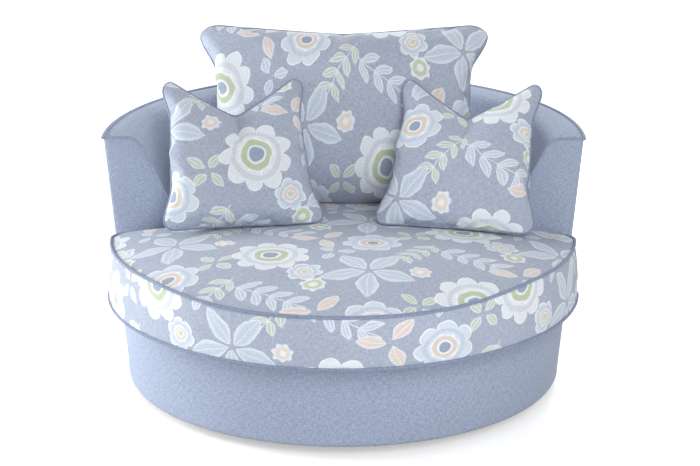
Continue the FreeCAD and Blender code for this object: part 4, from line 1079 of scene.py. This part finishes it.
def blow_up(piece, pressure, stiffness, cap, pins=None, bend=0.4):
    """Runs the cloth for some frames, applies it, and limits each point's move to cap."""
    rest = [point.co.copy() for point in piece.data.vertices]
    deselect()
    bpy.context.view_layer.objects.active = piece
    piece.select_set(True)
    cloth = piece.modifiers.new("stuffing", "CLOTH")
    cloth.settings.quality = 5
    cloth.settings.mass = 0.3
    cloth.settings.tension_stiffness = stiffness
    cloth.settings.compression_stiffness = stiffness
    cloth.settings.shear_stiffness = stiffness / 3
    cloth.settings.bending_stiffness = bend
    cloth.settings.air_damping = 2
    cloth.settings.use_pressure = True
    cloth.settings.uniform_pressure_force = pressure
    cloth.settings.effector_weights.gravity = 0
    cloth.collision_settings.use_collision = False
    if pins:
        held = piece.vertex_groups.new(name="held")
        held.add(pins, 1.0, "REPLACE")
        cloth.settings.vertex_group_mass = "held"
    cloth.point_cache.frame_start = 1
    cloth.point_cache.frame_end = INFLATE_FRAMES
    for step in range(1, INFLATE_FRAMES + 1):
        bpy.context.scene.frame_set(step)
    bpy.ops.object.modifier_apply(modifier="stuffing")
    bpy.context.scene.frame_set(1)
    for point, start in zip(piece.data.vertices, rest):
        move = point.co - start
        reach = move.length
        if reach > 1e-9:
            point.co = start + move * (cap * math.tanh(reach / cap) / reach)


def soften(piece, levels=1):
    """One subdivision, applied, for a rounder surface."""
    deselect()
    bpy.context.view_layer.objects.active = piece
    piece.select_set(True)
    finer = piece.modifiers.new("finer", "SUBSURF")
    finer.levels = levels
    finer.render_levels = levels
    finer.use_limit_surface = False
    bpy.ops.object.modifier_apply(modifier="finer")
    bpy.ops.object.shade_smooth()


def kept_clear(place, trees, gap):
    """The same point, pushed out of any neighbour until it is gap away from its surface."""
    for tree in trees:
        near, normal, _, _ = tree.find_nearest(place, SEARCH_REACH)
        if near is not None:
            depth = (place - near).dot(normal)
            if depth < gap:
                place = place + normal * (gap - depth)
    return place


# %% Fill the seat cushion
pins = [point.index for point in seat.data.vertices
        if abs(point.co.z - WELT_Z) < 1e-6 or point.co.z < SEAT_LOW + 1e-6]
blow_up(seat, pressure=3.0, stiffness=20, cap=0.010, pins=pins)
for point in seat.data.vertices:
    top = max(0.0, min(1.0, (point.co.z - WELT_Z) / 0.02))
    strip = max(0.0, 1 - abs(point.co.z - (WELT_Z + SEAT_LOW) / 2) / (STRIP / 2))
    strip = strip if point.co.z < WELT_Z else 0.0
    point.co.z += top * (waviness(point.co, 0.23, 0.006) + waviness(point.co, 0.07, 0.0016))
    point.co.z -= front_droop(point.co.y) * max(0.0, min(1.0, (point.co.z - SEAT_LOW) / STRIP))
    out = Vector((point.co.x, point.co.y + 0.15, 0)).normalized()
    point.co += out * (strip ** 0.6) * (waviness(point.co, 0.16, 0.006) + waviness(point.co, 0.05, 0.0022))
soften(seat)
PROUD = 1.0015
top_line = [(p.x * PROUD, p.y * PROUD, WELT_Z - front_droop(p.y)) for p in top_plan]
low_line = [(p.x * PROUD, p.y * PROUD, SEAT_LOW + 0.0045) for p in low_plan]
seat_cord_top = piping("seat_cord_top", top_line, SEAT_CORD_R, closed=True)
seat_cord_low = piping("seat_cord_low", low_line, SEAT_CORD_R, closed=True)
dress(seat, "seat_cushion", "printed_fabric", "seat_cushion_cover", "seat_cushion_foam")
# The seat's cords take the darker piping cloth: painted shade.
for cord in (seat_cord_top, seat_cord_low):
    dress(cord, "seat_cushion", "plain_fabric", "seat_cushion_piping", finish=cushion_piping_shaded_cloth)

# %% [markdown]
# ## Loose cushions
#
# A knife-edge cushion is two flat panels sewn together all round. Cut a little larger than the finished
# cushion, they draw in between the corners as they fill, and the corners stay flat and stand out as ears.
# The two scatter cushions have had the usual chop of the hand in the middle of the top edge, so their
# panels already dip there.

# %% Two panels sewn at the edge
SEAM_WIDTH = 0.006
PANEL_BOW = 0.010
CORNER_AT = 0.86
CORNER = 0.14


def cushion_line(shape, u, v):
    """Across and up in a cushion's plane, for u across it and v up it, both from -1 to 1.

    A shape is half the width below, half the width above, the height, the dip of the top edge, and how far
    the bottom edge and the sides are drawn in. The corners are rounded.
    """
    low_half, top_half, tall, dip, low_in, side_in = shape
    a, b = max(0, (abs(u) - CORNER_AT) / CORNER), max(0, (abs(v) - CORNER_AT) / CORNER)
    u_in = math.copysign(CORNER_AT + CORNER * a * math.sqrt(1 - b * b / 2), u) if a else u
    v_in = math.copysign(CORNER_AT + CORNER * b * math.sqrt(1 - a * a / 2), v) if b else v
    share = (v_in + 1) / 2
    half = low_half + (top_half - low_half) * share - side_in * eased((0.90 - abs(v_in)) / 0.45)
    upper = tall - dip * (1 - min(1, abs(u_in) / 0.9) ** 1.15)
    lower = low_in * (1 - u_in ** 2)
    return u_in * half, lower + (upper - lower) * share


def sewn_panels(name, shape, cells, print_at):
    """A flat panel from a grid, extruded by the seam's width into a closed bag, and its net of pairs."""
    across, along = cells

    def place(s, t):
        u, v = 2 * s - 1, 2 * t - 1
        x, z = cushion_line(shape, u, v)
        return Vector((x, -SEAM_WIDTH / 2 - PANEL_BOW * (1 - u ** 2) * (1 - v ** 2), z))

    bag = spread_cloth(name, across, along, place, lambda s, t, middle: (s, t))
    front_count = len(bag.data.vertices)
    bpy.ops.object.mode_set(mode="EDIT")
    bpy.ops.mesh.select_all(action="SELECT")
    bpy.ops.mesh.extrude_region_move(TRANSFORM_OT_translate={"value": (0, SEAM_WIDTH, 0)})
    bpy.ops.mesh.select_all(action="SELECT")
    bpy.ops.mesh.normals_make_consistent(inside=False)
    bpy.ops.object.mode_set(mode="OBJECT")
    places = bag.data.vertices
    behind = {}
    for point in places[front_count:]:
        point.co.y = SEAM_WIDTH - point.co.y
        behind[(round(point.co.x, 5), round(point.co.z, 5))] = point.index
    cloth_map = bag.data.uv_layers["cloth"]
    for corner in bag.data.loops:
        flat = places[corner.vertex_index].co
        side = 1 if corner.vertex_index < front_count else -1
        cloth_map.data[corner.index].uv = (print_at[0] + side * flat.x, print_at[1] + flat.z)
    net = {}
    for front in range(front_count):
        flat = places[front].co
        cell = (front % (across + 1), front // (across + 1))
        net[cell] = (front, behind[(round(flat.x, 5), round(flat.z, 5))])
    return bag, net


# %% Fill a cushion, chop it and lean it in its place
PRESS = 0.006
START_HEIGHT = 0.46
CLOTH_GAP = 0.0012
CORD_GAP = 0.0052


def seam_cells(cells):
    """The net's cells round its edge, in order."""
    across, along = cells
    ring = [(i, 0) for i in range(across)] + [(across, j) for j in range(along)]
    return ring + [(i, along) for i in range(across, 0, -1)] + [(0, j) for j in range(along, 0, -1)]


def drawn_to(bag, net, cells, shape):
    """Moves the filled bag's cloth so that its seam follows the outline but keeps its small puckers."""
    across, along = cells
    places = bag.data.vertices
    ring = seam_cells(cells)
    gaps = []
    for i, j in ring:
        x, z = cushion_line(shape, 2 * i / across - 1, 2 * j / along - 1)
        middle = (places[net[(i, j)][0]].co + places[net[(i, j)][1]].co) / 2
        gaps.append(Vector((x - middle.x, 0, z - middle.z)))
    for _ in range(4):
        gaps = [(gaps[k - 1] + gaps[k] * 2 + gaps[(k + 1) % len(gaps)]) / 4 for k in range(len(gaps))]
    gap = dict(zip(ring, gaps))
    for (i, j), pair in net.items():
        s, t = i / across, j / along
        sides = gap[(0, j)] * (1 - s) + gap[(across, j)] * s + gap[(i, 0)] * (1 - t) + gap[(i, along)] * t
        low = gap[(0, 0)] * (1 - s) + gap[(across, 0)] * s
        high = gap[(0, along)] * (1 - s) + gap[(across, along)] * s
        for index in pair:
            places[index].co += sides - low * (1 - t) - high * t


def plump(bag, net, cells, shape, thick, chop):
    """Fills the bag, draws it to its finished outline and presses the chop's valley into it."""
    wide, tall = shape[0] + shape[1], shape[2]
    blow_up(bag, pressure=4.0, stiffness=22, cap=0.6)
    drawn_to(bag, net, cells, shape)
    low = min(point.co.y for point in bag.data.vertices)
    high = max(point.co.y for point in bag.data.vertices)
    print(bag.name, "filled to a thickness of", round(high - low, 3))
    for point in bag.data.vertices:
        y = (point.co.y - (low + high) / 2) * thick / (high - low)
        fall = eased((point.co.z / tall - 0.30) / 0.45)
        valley = chop * math.exp(-(point.co.x / 0.05) ** 2) * fall
        point.co.y = y * (1 - valley)


def leaned(place, lean, turn, foot):
    """A cushion's point, tipped back by lean, turned about the upright axis and moved to its foot."""
    y = place.y * math.cos(lean) + place.z * math.sin(lean)
    z = place.z * math.cos(lean) - place.y * math.sin(lean)
    x = place.x * math.cos(turn) - y * math.sin(turn)
    return Vector((x + foot[0], place.x * math.sin(turn) + y * math.cos(turn) + foot[1], z + foot[2]))


def loose_cushion(name, shape, cut, thick, chop, lean, turn, foot, cells, print_at, trees):
    """The whole cushion: sewn, filled, placed, rested on its neighbours, piped and dressed."""
    half = (shape[0] + shape[1]) / 2 * cut
    bag, net = sewn_panels(name, (half, half, shape[2] * cut, shape[3], shape[4], 0.0), cells, print_at)
    plump(bag, net, cells, shape, thick, chop)
    places = [leaned(point.co, math.radians(lean), math.radians(turn), (foot[0], foot[1], 0))
              for point in bag.data.vertices]
    seated = START_HEIGHT - min(place.z for place in places)
    drop = 1.0
    for place in places:
        lifted = Vector((place.x, place.y, place.z + seated))
        hit, _, _, distance = trees[0].ray_cast(lifted, (0, 0, -1))
        if hit is not None and distance < drop:
            drop = distance
    seated -= drop + PRESS
    for point, place in zip(bag.data.vertices, places):
        point.co = kept_clear(Vector((place.x, place.y, place.z + seated)), trees, CLOTH_GAP)
    seam = [net[cell] for cell in seam_cells(cells)]
    line = [(bag.data.vertices[a].co + bag.data.vertices[b].co) / 2 for a, b in seam]
    for _ in range(3):
        line = [(line[k - 1] + line[k] * 2 + line[(k + 1) % len(line)]) / 4 for k in range(len(line))]
    line = [kept_clear(place, trees, CORD_GAP) for place in line]
    cord = piping(name + "_cord", line, CUSHION_CORD_R, closed=True, pitch=FINE_PITCH)
    soften(bag)
    dress(bag, name, "printed_fabric", name + "_cover", name + "_filling")
    # The cushion's cord takes the darker piping cloth: painted shade.
    dress(cord, name, "plain_fabric", name + "_piping", finish=cushion_piping_shaded_cloth)
    low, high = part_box(name + "_cover")
    heights = [point.co.z for point in bag.data.vertices]
    print(name, "CAD", [round(v, 3) for v in (*low, *high)], "from", round(min(heights), 3),
          "up to", round(max(heights), 3))
    return bag


# %% Back cushion
BACK_SHAPE = (0.392, 0.397, 0.498, 0.026, 0.008, 0.050)
SCATTER_SHAPE = (0.200, 0.181, 0.419, 0.110, 0.006, 0.020)
seat_tree = surface_tree(seat)
back = loose_cushion("back_cushion", BACK_SHAPE, cut=1.06, thick=0.235, chop=0.0, lean=19, turn=0,
                     foot=(-0.004, 0.118), cells=(96, 60), print_at=(3.10, 0.07),
                     trees=[seat_tree, wall_tree])
back_tree = surface_tree(back)

# %% Scatter cushions
for word, foot, turn, print_at in (("left", (-0.243, -0.172), 11.4, (5.02, 1.21)),
                                   ("right", (0.274, -0.174), -14.4, (7.27, 2.02))):
    loose_cushion("scatter_" + word, SCATTER_SHAPE, cut=1.07, thick=0.145, chop=0.42, lean=37, turn=turn,
                  foot=foot, cells=(60, 60), print_at=print_at, trees=[seat_tree, wall_tree, back_tree])
